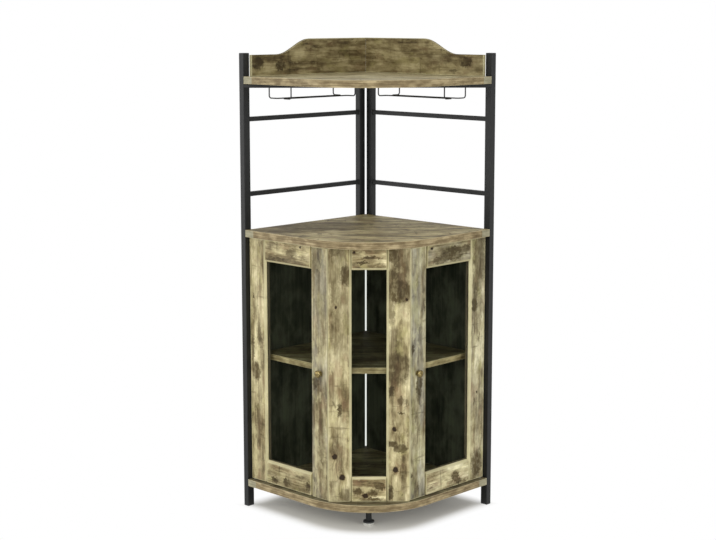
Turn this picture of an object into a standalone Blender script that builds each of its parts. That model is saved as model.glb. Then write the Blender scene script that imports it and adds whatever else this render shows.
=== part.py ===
"""Corner bar cabinet with glazed doors, an open serving bay, glass racks and a gallery shelf.

Metres, +Z up, the front towards -Y. The origin is on the floor, at the centre of the cabinet's bounding box.

The plan is a square that fits a room's corner, with its front corner rounded off. Each side is laid out in its
own wall frame, whose origin is the room's corner: X runs along the wall towards the front, and Y times the side's
hand runs inward from the wall. The two sides mirror each other.
"""

import math

import bmesh
import bpy

# Plan
WALL_REACH = 0.554  # from the room's corner to the front faces of the front posts
NOSE_RADIUS = 0.250
NOSE_STEPS = 20
FIT = 0.0003  # gap between pieces that touch
OVERRUN = 0.005  # how far a cutter runs past what it cuts
WELD_DISTANCE = 0.000005

# Boards
BOARD_THICKNESS = 0.022
BOARD_ROUNDING = 0.0015
BASE_UNDERSIDE = 0.066
WORKTOP_UNDERSIDE = 0.861
SHELF_BELOW_POST_TOPS = 0.0695

# Steel frames
POST_HEIGHT = 1.422
POST_WIDTH = 0.025  # along the wall
POST_DEPTH = 0.020  # square to the wall
POST_WALL = 0.0012
TUBE_CORNER = 0.0018
TUBE_CORNER_STEPS = 4
REAR_POST_START = 0.023
RAIL_SIZE = 0.014
RAIL_WALL = 0.001
LOWER_RAIL_SHARE = 0.2268  # of the serving bay's height, to the rail's underside
UPPER_RAIL_SHARE = 0.7419
CROSS_BAR_HEIGHT = 0.012
CROSS_BAR_DEPTH = 0.015
CROSS_BAR_SETBACK = 0.001  # behind the chord through the front posts' inner front corners
GLIDE_THICKNESS = 0.004
GLIDE_PLUG_LENGTH = 0.015

# Gallery round the top shelf
GALLERY_THICKNESS = 0.010
GALLERY_LOW = 0.065
GALLERY_HIGH = 0.112
GALLERY_CURVE_SETBACK = 0.134  # from the posts' front faces to the S curve
GALLERY_CURVE_LENGTH = 0.140
GALLERY_CURVE_STEPS = 14

# Glazed frames of the doors and of the centre panel
FRAME_THICKNESS = 0.022
FRAME_CHAMFER = 0.007
MEMBER_ROUNDING = 0.0005
GLASS_THICKNESS = 0.004
GLASS_SETBACK = 0.009
GLASS_BITE = 0.008  # how far the glass reaches behind each member
GLASS_PLAY = 0.0005

# Doors
DOOR_SETBACK = 0.016  # behind the boards' straight front edges
DOOR_POST_GAP = 0.002
DOOR_BOARD_GAP = 0.0028
DOOR_CENTRE_GAP = 0.002
OUTER_STILE_SHARE = 0.2027  # of the door's width
INNER_STILE_SHARE = 0.2130
DOOR_BOTTOM_RAIL = 0.0705
DOOR_TOP_RAIL = 0.0685

# Centre panel
CENTRE_PANEL_SHARE = 0.4433  # of the wall reach, for the panel's width
CENTRE_STILE_SHARE = 0.2883  # of the panel's width
CENTRE_BOTTOM_RAIL = 0.075
CENTRE_TOP_RAIL = 0.0668

# Pivot pins at the outer stiles' ends
PIVOT_FROM_EDGE = 0.010
PIVOT_FROM_FACE = 0.006
PIN_RADIUS = 0.003
PIN_COLLAR_RADIUS = 0.0052
PIN_IN_BOARD = 0.010
PIN_IN_DOOR = 0.014

# Knobs
KNOB_SHARE = 0.41  # of the inner stile's width, from the door's inner end
KNOB_HEIGHT = 0.478
KNOB_LENGTH = 0.018
KNOB_ROSETTE_RADIUS = 0.0085
KNOB_ROSETTE_THICKNESS = 0.002
KNOB_NECK_RADIUS = 0.0045
KNOB_HEAD_RADIUS = 0.0115
KNOB_HEAD_LENGTH = 0.0105
KNOB_HEAD_STEPS = 7
KNOB_HEAD_FULLNESS = 0.75  # below 1 the head is fuller than a ball

# Magnetic catches under the worktop
CATCH_LENGTH = 0.045
CATCH_DEPTH = 0.014
CATCH_HEIGHT = 0.012

# Side panels and inner shelf
PANEL_THICKNESS = 0.012
PANEL_CORNER_SLIT = 0.0033
PANEL_DOOR_GAP = 0.004
INNER_SHELF_UNDERSIDE = 0.473
INNER_SHELF_THICKNESS = 0.018
INNER_SHELF_SETBACK = 0.040
PEG_RADIUS = 0.0025
PEG_IN_PANEL = 0.008
PEG_REACH = 0.009
PEG_END_DISTANCE = 0.080

# Centre leg and its levelling foot
LEG_RADIUS = 0.009
LEG_SETBACK = 0.090  # behind the boards' nose
LEG_PLATE_RADIUS = 0.022
LEG_PLATE_THICKNESS = 0.0025
LEG_BORE_LENGTH = 0.032
STUD_RADIUS = 0.004
STUD_LENGTH = 0.028
FOOT_FLANGE_RADIUS = 0.017
FOOT_FLANGE_THICKNESS = 0.005
FOOT_PAD_RADIUS = 0.0165
FOOT_PAD_THICKNESS = 0.008
FOOT_PAD_ROUNDING = 0.0015

# Glass racks
WIRE_RADIUS = 0.002
RACK_DROP = 0.0455  # from the shelf's underside to the wire's centre
RACK_SETBACK = 0.091  # behind the posts' front faces
RACK_BACK = 0.186
RACK_CENTRE = 0.085  # from the wall to the middle of the slot
RACK_SLOT = 0.026  # between the two wires' centres
RACK_LEG_SPREAD = 0.098  # between the outer legs' centres
RACK_BEND = 0.008
RACK_BEND_STEPS = 4
RACK_SOCKET = 0.010

# Sides of round pieces
ROUND_SIDES = 24
SMALL_ROUND_SIDES = 16

ROOT_TWO = math.sqrt(2)
QUARTER_TURN = math.radians(90)
SHARP_ANGLE = math.radians(35)
EIGHTH_TURN = math.radians(45)

# Places that follow from the sizes above
BOARD_START = POST_DEPTH + FIT
POST_INNER_END = WALL_REACH - POST_WIDTH
DOOR_FACE = WALL_REACH - DOOR_SETBACK
DOOR_BACK = DOOR_FACE - FRAME_THICKNESS
DOOR_OUTER_EDGE = POST_DEPTH + DOOR_POST_GAP
CENTRE_PANEL_WIDTH = CENTRE_PANEL_SHARE * WALL_REACH
CENTRE_STILE_WIDTH = CENTRE_STILE_SHARE * CENTRE_PANEL_WIDTH
CENTRE_END = DOOR_FACE - CENTRE_PANEL_WIDTH / ROOT_TWO
DOOR_INNER_REACH = CENTRE_END - DOOR_CENTRE_GAP  # from the wall to the door's inner end
DOOR_WIDTH = DOOR_INNER_REACH - DOOR_OUTER_EDGE
OUTER_STILE_WIDTH = OUTER_STILE_SHARE * DOOR_WIDTH
INNER_STILE_WIDTH = INNER_STILE_SHARE * DOOR_WIDTH
BASE_TOP = BASE_UNDERSIDE + BOARD_THICKNESS
WORKTOP_TOP = WORKTOP_UNDERSIDE + BOARD_THICKNESS
SHELF_TOP = POST_HEIGHT - SHELF_BELOW_POST_TOPS
SHELF_UNDERSIDE = SHELF_TOP - BOARD_THICKNESS
BAY_HEIGHT = SHELF_UNDERSIDE - WORKTOP_TOP
RACK_FRONT = WALL_REACH - RACK_SETBACK
PANEL_INNER_FACE = BOARD_START + PANEL_THICKNESS
NOSE_DEPTH = (WALL_REACH - NOSE_RADIUS) * ROOT_TWO + NOSE_RADIUS
BACK_DEPTH = (REAR_POST_START + TUBE_CORNER * (2 - ROOT_TWO)) / ROOT_TWO
ROOM_CORNER_Y = (NOSE_DEPTH + BACK_DEPTH) / 2
CENTRE_FACE_DEPTH = (DOOR_FACE + CENTRE_END) / ROOT_TWO

PART = "corner_bar_cabinet"


class Side:
    """One side of the cabinet: its name, its hand and its wall frame."""

    def __init__(self, name, hand, turn):
        self.name = name
        self.hand = hand
        self.frame = empty(f"{name}_wall_frame", None, (0, ROOM_CORNER_Y, 0), (0, 0, turn))

    def place(self, along, inward, height):
        """A point of the wall frame, from its distances along and inward from the wall."""
        return (along, self.hand * inward, height)


def clear_scene():
    for obj in list(bpy.data.objects):
        bpy.data.objects.remove(obj, do_unlink=True)


def new_collection(name):
    collection = bpy.data.collections.new(name)
    bpy.context.scene.collection.children.link(collection)
    return collection


def material(name, colour, roughness, metallic=0.0, transmission=0.0):
    made = bpy.data.materials.new(name)
    made.use_nodes = True
    shader = made.node_tree.nodes["Principled BSDF"]
    shader.inputs["Base Color"].default_value = (*colour, 1.0)
    shader.inputs["Roughness"].default_value = roughness
    shader.inputs["Metallic"].default_value = metallic
    shader.inputs["Transmission Weight"].default_value = transmission
    made.diffuse_color = (*colour, 1.0)
    return made


def attach(obj, parent, location, rotation):
    obj.parent = parent
    obj.location = location
    obj.rotation_euler = rotation


def empty(name, parent, location, rotation=(0, 0, 0)):
    obj = bpy.data.objects.new(name, None)
    bpy.data.collections[PART].objects.link(obj)
    attach(obj, parent, location, rotation)
    return obj


def piece(name, mesh, finish, parent, location, rotation=(0, 0, 0)):
    """A named piece of the cabinet."""
    obj = bpy.data.objects.new(name, mesh)
    bpy.data.collections[PART].objects.link(obj)
    mesh.name = name
    mesh.materials.clear()
    mesh.materials.append(bpy.data.materials[finish])
    attach(obj, parent, location, rotation)
    return obj


def helper(name, mesh, parent, location, rotation=(0, 0, 0)):
    """A solid that a Boolean takes away from a piece, or adds to it, and that is no piece itself."""
    obj = bpy.data.objects.new(name, mesh)
    bpy.data.collections["helpers"].objects.link(obj)
    obj.hide_render = True
    obj.display_type = "WIRE"
    attach(obj, parent, location, rotation)
    return obj


def combine(obj, tool, operation):
    modifier = obj.modifiers.new(tool.name, "BOOLEAN")
    modifier.operation = operation
    modifier.solver = "EXACT"
    modifier.object = tool


def cut(obj, tool):
    combine(obj, tool, "DIFFERENCE")


def soften(obj, width, segments=1):
    modifier = obj.modifiers.new("rounding", "BEVEL")
    modifier.width = width
    modifier.segments = segments
    modifier.limit_method = "ANGLE"


def smooth(mesh):
    mesh.shade_smooth()
    mesh.set_sharp_from_angle(angle=SHARP_ANGLE)


def box_mesh(size):
    mesh = bpy.data.meshes.new("box")
    form = bmesh.new()
    bmesh.ops.create_cube(form, size=1)
    bmesh.ops.scale(form, vec=size, verts=form.verts)
    form.to_mesh(mesh)
    form.free()
    return mesh


def cylinder_mesh(radius, length, sides):
    mesh = bpy.data.meshes.new("cylinder")
    form = bmesh.new()
    bmesh.ops.create_cone(
        form, cap_ends=True, segments=sides, radius1=radius, radius2=radius, depth=length
    )
    form.to_mesh(mesh)
    form.free()
    smooth(mesh)
    return mesh


def mesh_from_curve(curve):
    """The curve's mesh, with its caps welded to its sides."""
    source = bpy.data.objects.new("curve", curve)
    bpy.context.scene.collection.objects.link(source)
    graph = bpy.context.evaluated_depsgraph_get()
    mesh = bpy.data.meshes.new_from_object(source.evaluated_get(graph))
    bpy.data.objects.remove(source, do_unlink=True)
    bpy.data.curves.remove(curve)
    form = bmesh.new()
    form.from_mesh(mesh)
    bmesh.ops.remove_doubles(form, verts=form.verts, dist=WELD_DISTANCE)
    bmesh.ops.recalc_face_normals(form, faces=form.faces)
    form.to_mesh(mesh)
    form.free()
    return mesh


def prism_mesh(loops, thickness):
    """Closed outlines in local XY, with the thickness centred on Z. A loop inside another is a hole."""
    curve = bpy.data.curves.new("outline", "CURVE")
    curve.dimensions = "2D"
    curve.fill_mode = "BOTH"
    curve.extrude = thickness / 2
    for loop in loops:
        spline = curve.splines.new("POLY")
        spline.points.add(len(loop) - 1)
        for point, (x, y) in zip(spline.points, loop):
            point.co = (x, y, 0, 1)
        spline.use_cyclic_u = True
    return mesh_from_curve(curve)


def wire_mesh(points, radius):
    """A round wire along the points, with closed ends."""
    curve = bpy.data.curves.new("wire", "CURVE")
    curve.dimensions = "3D"
    curve.bevel_depth = radius
    curve.bevel_resolution = 2
    curve.use_fill_caps = True
    spline = curve.splines.new("POLY")
    spline.points.add(len(points) - 1)
    for point, place in zip(spline.points, points):
        point.co = (*place, 1)
    mesh = mesh_from_curve(curve)
    smooth(mesh)
    return mesh


def turned_piece(name, profile, finish, parent, location, rotation=(0, 0, 0), sides=ROUND_SIDES):
    """A piece turned about its Z axis. The profile is (radius, height) pairs, from the top to the bottom."""
    mesh = bpy.data.meshes.new(name)
    points = [(radius, 0, height) for radius, height in profile]
    mesh.from_pydata(points, [(i, i + 1) for i in range(len(points) - 1)], [])
    obj = piece(name, mesh, finish, parent, location, rotation)
    screw = obj.modifiers.new("turning", "SCREW")
    screw.steps = sides
    screw.render_steps = sides
    screw.use_merge_vertices = True
    screw.merge_threshold = WELD_DISTANCE
    screw.use_smooth_shade = True
    return obj


def rounded_rectangle(width, depth, radius):
    """Outline centred on the origin, with round corners."""
    points = []
    for corner in range(4):
        side_x = 1 if corner in (0, 3) else -1
        side_y = 1 if corner in (0, 1) else -1
        for step in range(TUBE_CORNER_STEPS + 1):
            angle = QUARTER_TURN * (corner + step / TUBE_CORNER_STEPS)
            x = side_x * (width / 2 - radius) + radius * math.cos(angle)
            y = side_y * (depth / 2 - radius) + radius * math.sin(angle)
            points.append((x, y))
    return points


def tube_loops(width, depth, wall):
    """The outer and inner outlines of a rectangular tube."""
    inner_corner = TUBE_CORNER - wall
    return [
        rounded_rectangle(width, depth, TUBE_CORNER),
        rounded_rectangle(width - 2 * wall, depth - 2 * wall, inner_corner),
    ]


def in_plan(right_wall, left_wall):
    """Cabinet X and Y of a point, from its distances to the room's corner along each wall."""
    return (
        (right_wall - left_wall) / ROOT_TWO,
        ROOM_CORNER_Y - (right_wall + left_wall) / ROOT_TWO,
    )


def board_outline():
    """A corner board's plan: two wall edges, two straight front edges and the round nose between them."""
    centre = WALL_REACH - NOSE_RADIUS
    outline = [in_plan(BOARD_START, BOARD_START), in_plan(WALL_REACH, BOARD_START)]
    for step in range(NOSE_STEPS + 1):
        angle = QUARTER_TURN * step / NOSE_STEPS
        right_wall = centre + NOSE_RADIUS * math.cos(angle)
        left_wall = centre + NOSE_RADIUS * math.sin(angle)
        outline.append(in_plan(right_wall, left_wall))
    outline.append(in_plan(BOARD_START, WALL_REACH))
    return outline


def make_board(name, underside):
    mesh = prism_mesh([board_outline()], BOARD_THICKNESS)
    board = piece(name, mesh, "weathered_wood", None, (0, 0, underside + BOARD_THICKNESS / 2))
    soften(board, BOARD_ROUNDING, 2)
    return board


def make_post(side, name, start):
    """An upright tube with a closed top. Its open foot takes a plastic glide."""
    foot = GLIDE_THICKNESS + FIT
    length = POST_HEIGHT - foot
    outer, inner = tube_loops(POST_WIDTH, POST_DEPTH, POST_WALL)
    middle = start + POST_WIDTH / 2
    place = side.place(middle, POST_DEPTH / 2, foot + length / 2)
    post = piece(name, prism_mesh([outer], length), "black_steel", side.frame, place)
    bore_length = length - POST_WALL + OVERRUN
    bore_place = side.place(middle, POST_DEPTH / 2, foot - OVERRUN + bore_length / 2)
    cut(post, helper(f"{name}_bore", prism_mesh([inner], bore_length), side.frame, bore_place))


def make_glide(side, name, start):
    """A plastic foot: a plate as large as the post, and a plug inside it."""
    plug_width = POST_WIDTH - 2 * (POST_WALL + FIT)
    plug_depth = POST_DEPTH - 2 * (POST_WALL + FIT)
    plate = prism_mesh([rounded_rectangle(POST_WIDTH, POST_DEPTH, TUBE_CORNER)], GLIDE_THICKNESS)
    middle = start + POST_WIDTH / 2
    place = side.place(middle, POST_DEPTH / 2, GLIDE_THICKNESS / 2)
    glide = piece(name, plate, "black_plastic", side.frame, place)
    plug_length = GLIDE_PLUG_LENGTH + GLIDE_THICKNESS / 2
    plug = helper(
        f"{name}_plug",
        box_mesh((plug_width, plug_depth, plug_length)),
        side.frame,
        side.place(middle, POST_DEPTH / 2, GLIDE_THICKNESS / 2 + plug_length / 2),
    )
    combine(glide, plug, "UNION")


def make_rail(side, name, underside):
    """A square tube between the two posts of a side frame."""
    start = REAR_POST_START + POST_WIDTH + FIT
    length = POST_INNER_END - FIT - start
    mesh = prism_mesh(tube_loops(RAIL_SIZE, RAIL_SIZE, RAIL_WALL), length)
    place = side.place(start + length / 2, POST_DEPTH / 2, underside + RAIL_SIZE / 2)
    piece(name, mesh, "black_steel", side.frame, place, (0, QUARTER_TURN, 0))


def make_side_frame(side):
    for position, start in (("front", POST_INNER_END), ("rear", REAR_POST_START)):
        make_post(side, f"{side.name}_{position}_post", start)
        make_glide(side, f"{side.name}_{position}_glide", start)
    beside_board = (BOARD_THICKNESS - RAIL_SIZE) / 2
    rails = {
        "base_rail": BASE_UNDERSIDE + beside_board,
        "worktop_rail": WORKTOP_UNDERSIDE + beside_board,
        "lower_rail": WORKTOP_TOP + LOWER_RAIL_SHARE * BAY_HEIGHT,
        "upper_rail": WORKTOP_TOP + UPPER_RAIL_SHARE * BAY_HEIGHT,
        "shelf_rail": SHELF_UNDERSIDE + beside_board,
    }
    for name, underside in rails.items():
        make_rail(side, f"{side.name}_{name}", underside)


def make_cross_bar(sides):
    """The tube under the top shelf's front, with its ends mitred to the front posts' inner faces."""
    front_depth = (POST_DEPTH + WALL_REACH) / ROOT_TWO - CROSS_BAR_SETBACK
    middle_depth = front_depth - CROSS_BAR_DEPTH / 2
    length = 2 * (WALL_REACH - POST_DEPTH) / ROOT_TWO + 2 * OVERRUN
    height = SHELF_UNDERSIDE - FIT - CROSS_BAR_HEIGHT / 2
    mesh = prism_mesh(tube_loops(CROSS_BAR_HEIGHT, CROSS_BAR_DEPTH, RAIL_WALL), length)
    place = (0, ROOM_CORNER_Y - middle_depth, height)
    bar = piece("front_cross_bar", mesh, "black_steel", None, place, (0, QUARTER_TURN, 0))
    for side in sides:
        tool = helper(
            f"{side.name}_cross_bar_mitre",
            box_mesh((2 * POST_WIDTH + 2 * CROSS_BAR_DEPTH, 2 * BOARD_START, 2 * CROSS_BAR_HEIGHT)),
            side.frame,
            side.place(WALL_REACH - POST_WIDTH / 2, 0, height),
        )
        cut(bar, tool)


def gallery_outline():
    """Along the wall and up: high towards the room's corner, low towards the front, an S curve between."""
    rise = GALLERY_HIGH - GALLERY_LOW
    curve_front = WALL_REACH - GALLERY_CURVE_SETBACK
    outline = [(BOARD_START, FIT), (POST_INNER_END, FIT), (POST_INNER_END, GALLERY_LOW)]
    for step in range(GALLERY_CURVE_STEPS + 1):
        share = step / GALLERY_CURVE_STEPS
        height = GALLERY_LOW + rise * (1 - math.cos(math.pi * share)) / 2
        outline.append((curve_front - GALLERY_CURVE_LENGTH * share, height))
    outline.append((BOARD_START, GALLERY_HIGH))
    return outline


def make_gallery(side):
    """An upright board on the shelf, mitred where the two meet in the corner."""
    mesh = prism_mesh([gallery_outline()], GALLERY_THICKNESS)
    place = side.place(0, BOARD_START + GALLERY_THICKNESS / 2, SHELF_TOP)
    name = f"{side.name}_gallery"
    gallery = piece(name, mesh, "weathered_wood", side.frame, place, (QUARTER_TURN, 0, 0))
    soften(gallery, MEMBER_ROUNDING)
    reach = 2 * GALLERY_THICKNESS + OVERRUN
    tool = helper(
        f"{name}_mitre",
        box_mesh((reach, 2 * reach, GALLERY_HIGH + 2 * OVERRUN)),
        None,
        (
            side.hand * (reach - FIT) / 2,
            ROOM_CORNER_Y - (2 * BOARD_START + GALLERY_THICKNESS) / ROOT_TWO,
            SHELF_TOP + GALLERY_HIGH / 2,
        ),
    )
    cut(gallery, tool)


def peg_places():
    """Where the shelf pegs stand along a side panel."""
    front = DOOR_FACE - INNER_SHELF_SETBACK
    return {"rear": PANEL_INNER_FACE + PEG_END_DISTANCE, "front": front - PEG_END_DISTANCE}


def make_side_panel(side):
    """A panel inside the side frame, from board to board, with blind holes for the shelf pegs."""
    start = PANEL_INNER_FACE + PANEL_CORNER_SLIT
    end = DOOR_BACK - PANEL_DOOR_GAP
    bottom = BASE_TOP + FIT
    top = WORKTOP_UNDERSIDE - FIT
    panel = piece(
        f"{side.name}_side_panel",
        box_mesh((end - start, PANEL_THICKNESS, top - bottom)),
        "black_panel",
        side.frame,
        side.place((start + end) / 2, BOARD_START + PANEL_THICKNESS / 2, (bottom + top) / 2),
    )
    soften(panel, MEMBER_ROUNDING)
    peg_height = INNER_SHELF_UNDERSIDE - FIT - PEG_RADIUS
    peg_length = PEG_IN_PANEL + PEG_REACH
    hole_depth = PEG_IN_PANEL + FIT
    for position, along in peg_places().items():
        name = f"{side.name}_{position}_peg"
        middle = PANEL_INNER_FACE - PEG_IN_PANEL + peg_length / 2
        piece(
            name,
            cylinder_mesh(PEG_RADIUS, peg_length, SMALL_ROUND_SIDES),
            "zinc_steel",
            side.frame,
            side.place(along, middle, peg_height),
            (QUARTER_TURN, 0, 0),
        )
        hole = helper(
            f"{name}_hole",
            cylinder_mesh(PEG_RADIUS + FIT, hole_depth + OVERRUN, SMALL_ROUND_SIDES),
            side.frame,
            side.place(along, PANEL_INNER_FACE - hole_depth / 2 + OVERRUN / 2, peg_height),
            (QUARTER_TURN, 0, 0),
        )
        cut(panel, hole)


def make_inner_shelf():
    """The shelf behind the glass. Its front edges run parallel to the doors and to the centre panel."""
    start = PANEL_INNER_FACE + FIT
    front = DOOR_FACE - INNER_SHELF_SETBACK
    turn = (CENTRE_FACE_DEPTH - INNER_SHELF_SETBACK) * ROOT_TWO - front
    corners = ((start, start), (front, start), (front, turn), (turn, front), (start, front))
    outline = [in_plan(*corner) for corner in corners]
    shelf = piece(
        "inner_shelf",
        prism_mesh([outline], INNER_SHELF_THICKNESS),
        "weathered_wood",
        None,
        (0, 0, INNER_SHELF_UNDERSIDE + INNER_SHELF_THICKNESS / 2),
    )
    soften(shelf, MEMBER_ROUNDING)


def member_outline(face, edge, opening, mitre=0.0):
    """Section of a stile or rail, with the front of the side towards the opening chamfered."""
    back = face - FRAME_THICKNESS
    inward = math.copysign(1, opening - edge)
    return [
        (face, edge),
        (face, opening - inward * FRAME_CHAMFER),
        (face - FRAME_CHAMFER, opening),
        (back, opening),
        (back, edge + inward * mitre),
    ]


def make_glazed_frame(name, parent, hand, face, edges, opening, heights, mitre, stile_names):
    """Two stiles, two rails between them and a pane from behind.

    The frame stands in its parent's YZ plane with its front towards +X. The edges and the opening are places
    along Y, before the hand turns them. The heights are the bottom, the opening's two ends and the top.
    """
    bottom, sill, head, top = heights
    middle = (bottom + top) / 2
    pocket_back = face - FRAME_THICKNESS - OVERRUN
    pocket_face = face - GLASS_SETBACK
    pocket_width = opening[1] - opening[0] + 2 * GLASS_BITE
    pocket_height = head - sill + 2 * GLASS_BITE
    opening_middle = hand * (opening[0] + opening[1]) / 2
    pocket = helper(
        f"{name}_pocket",
        box_mesh((pocket_face - pocket_back, pocket_width, pocket_height)),
        parent,
        ((pocket_face + pocket_back) / 2, opening_middle, (sill + head) / 2),
    )
    members = []
    for stile_name, edge, side_of_opening in zip(stile_names, edges, opening):
        outline = [(x, hand * y) for x, y in member_outline(face, edge, side_of_opening, mitre)]
        mesh = prism_mesh([outline], top - bottom)
        members.append(piece(stile_name, mesh, "weathered_wood", parent, (0, 0, middle)))
    rail_length = opening[1] - opening[0] - 2 * FIT
    for rail_name, edge, side_of_opening in (("bottom_rail", bottom, sill), ("top_rail", top, head)):
        mesh = prism_mesh([member_outline(face, edge, side_of_opening)], rail_length)
        place = (0, opening_middle, 0)
        rotation = (QUARTER_TURN, 0, 0)
        members.append(piece(f"{name}_{rail_name}", mesh, "weathered_wood", parent, place, rotation))
    for member in members:
        soften(member, MEMBER_ROUNDING)
        cut(member, pocket)
    pane_size = (GLASS_THICKNESS, pocket_width - 2 * GLASS_PLAY, pocket_height - 2 * GLASS_PLAY)
    pane_place = (pocket_face - FIT - GLASS_THICKNESS / 2, opening_middle, (sill + head) / 2)
    piece(f"{name}_glass", box_mesh(pane_size), "glass", parent, pane_place)
    return members


def knob_profile():
    """From the head's front to the rosette on the door."""
    head_start = KNOB_LENGTH - KNOB_HEAD_LENGTH
    points = [(0, KNOB_LENGTH)]
    for step in range(1, KNOB_HEAD_STEPS):
        angle = math.pi * step / KNOB_HEAD_STEPS
        radius = KNOB_HEAD_RADIUS * math.sin(angle) ** KNOB_HEAD_FULLNESS
        if step > KNOB_HEAD_STEPS / 2:
            radius = max(radius, KNOB_NECK_RADIUS)
        points.append((radius, head_start + KNOB_HEAD_LENGTH * (1 + math.cos(angle)) / 2))
    points += [
        (KNOB_NECK_RADIUS, head_start),
        (KNOB_NECK_RADIUS, KNOB_ROSETTE_THICKNESS),
        (KNOB_ROSETTE_RADIUS, KNOB_ROSETTE_THICKNESS),
        (KNOB_ROSETTE_RADIUS, 0),
        (0, 0),
    ]
    return points


def pin_profile():
    """A pin with a collar that fills the gap between the door and the board, its middle at height 0."""
    collar = DOOR_BOARD_GAP / 2 - FIT
    board_end = DOOR_BOARD_GAP / 2 + PIN_IN_BOARD
    door_end = -DOOR_BOARD_GAP / 2 - PIN_IN_DOOR
    return [
        (0, board_end),
        (PIN_RADIUS, board_end),
        (PIN_RADIUS, collar),
        (PIN_COLLAR_RADIUS, collar),
        (PIN_COLLAR_RADIUS, -collar),
        (PIN_RADIUS, -collar),
        (PIN_RADIUS, door_end),
        (0, door_end),
    ]


def make_door(side, base, worktop):
    """A glazed door on two pivot pins, with its parts on an empty at the pins' axis."""
    name = f"{side.name}_door"
    along = DOOR_FACE - PIVOT_FROM_FACE
    inward = DOOR_OUTER_EDGE + PIVOT_FROM_EDGE
    hinge = empty(f"{name}_hinge", side.frame, side.place(along, inward, 0))
    bottom = BASE_TOP + DOOR_BOARD_GAP
    top = WORKTOP_UNDERSIDE - DOOR_BOARD_GAP
    edges = (-PIVOT_FROM_EDGE, DOOR_INNER_REACH - inward)
    opening = (edges[0] + OUTER_STILE_WIDTH, edges[1] - INNER_STILE_WIDTH)
    heights = (bottom, bottom + DOOR_BOTTOM_RAIL, top - DOOR_TOP_RAIL, top)
    stile_names = (f"{name}_outer_stile", f"{name}_inner_stile")
    members = make_glazed_frame(
        name, hinge, side.hand, PIVOT_FROM_FACE, edges, opening, heights, 0.0, stile_names
    )
    turned_piece(
        f"{name}_knob",
        knob_profile(),
        "antique_bronze",
        hinge,
        (
            PIVOT_FROM_FACE + FIT,
            side.hand * (edges[1] - KNOB_SHARE * INNER_STILE_WIDTH),
            KNOB_HEIGHT,
        ),
        (0, QUARTER_TURN, 0),
    )
    ends = {
        "top": (worktop, (top + WORKTOP_UNDERSIDE) / 2, 0.0),
        "bottom": (base, (bottom + BASE_TOP) / 2, 2 * QUARTER_TURN),
    }
    hole_length = DOOR_BOARD_GAP + PIN_IN_BOARD + PIN_IN_DOOR + 2 * FIT
    for position, (board, height, turn) in ends.items():
        place = side.place(along, inward, height)
        pin_name = f"{name}_{position}_pin"
        turned_piece(
            pin_name, pin_profile(), "zinc_steel", side.frame, place, (turn, 0, 0), SMALL_ROUND_SIDES
        )
        shift = math.cos(turn) * (PIN_IN_BOARD - PIN_IN_DOOR) / 2
        hole = helper(
            f"{pin_name}_hole",
            cylinder_mesh(PIN_RADIUS + FIT, hole_length, SMALL_ROUND_SIDES),
            side.frame,
            side.place(along, inward, height + shift),
        )
        cut(board, hole)
        cut(members[0], hole)


def make_catch(side):
    """A magnetic catch under the worktop, behind the door's inner stile."""
    front = DOOR_BACK - FIT
    piece(
        f"{side.name}_magnetic_catch",
        box_mesh((CATCH_DEPTH, CATCH_LENGTH, CATCH_HEIGHT)),
        "black_plastic",
        side.frame,
        side.place(
            front - CATCH_DEPTH / 2,
            DOOR_INNER_REACH - INNER_STILE_WIDTH / 2,
            WORKTOP_UNDERSIDE - FIT - CATCH_HEIGHT / 2,
        ),
    )


def make_centre_panel():
    """The fixed glazed panel between the doors. Its ends run parallel to the doors' inner ends."""
    frame = empty(
        "centre_panel_frame", None, (0, ROOM_CORNER_Y - CENTRE_FACE_DEPTH, 0), (0, 0, -QUARTER_TURN)
    )
    bottom = BASE_TOP + FIT
    top = WORKTOP_UNDERSIDE - FIT
    edges = (-CENTRE_PANEL_WIDTH / 2, CENTRE_PANEL_WIDTH / 2)
    opening = (edges[0] + CENTRE_STILE_WIDTH, edges[1] - CENTRE_STILE_WIDTH)
    heights = (bottom, bottom + CENTRE_BOTTOM_RAIL, top - CENTRE_TOP_RAIL, top)
    stile_names = ("centre_panel_left_stile", "centre_panel_right_stile")
    make_glazed_frame(
        "centre_panel", frame, 1, 0.0, edges, opening, heights, FRAME_THICKNESS, stile_names
    )


def make_centre_leg():
    """A short leg under the nose, with a foot that screws in and out of it."""
    place = (0, ROOM_CORNER_Y - NOSE_DEPTH + LEG_SETBACK, 0)
    top = BASE_UNDERSIDE - FIT
    flange_top = FOOT_PAD_THICKNESS + FOOT_FLANGE_THICKNESS
    leg_end = flange_top + FIT
    bore = STUD_RADIUS + FIT
    leg_profile = [
        (0, top),
        (LEG_PLATE_RADIUS, top),
        (LEG_PLATE_RADIUS, top - LEG_PLATE_THICKNESS),
        (LEG_RADIUS, top - LEG_PLATE_THICKNESS),
        (LEG_RADIUS, leg_end),
        (bore, leg_end),
        (bore, leg_end + LEG_BORE_LENGTH),
        (0, leg_end + LEG_BORE_LENGTH),
    ]
    turned_piece("centre_leg", leg_profile, "black_steel", None, place)
    foot_profile = [
        (0, flange_top + STUD_LENGTH),
        (STUD_RADIUS, flange_top + STUD_LENGTH),
        (STUD_RADIUS, flange_top),
        (FOOT_FLANGE_RADIUS, flange_top),
        (FOOT_FLANGE_RADIUS, FOOT_PAD_THICKNESS),
        (FOOT_PAD_RADIUS, FOOT_PAD_THICKNESS),
        (FOOT_PAD_RADIUS, FOOT_PAD_ROUNDING),
        (FOOT_PAD_RADIUS - FOOT_PAD_ROUNDING, 0),
        (0, 0),
    ]
    turned_piece("centre_foot", foot_profile, "grey_plastic", None, place)


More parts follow.
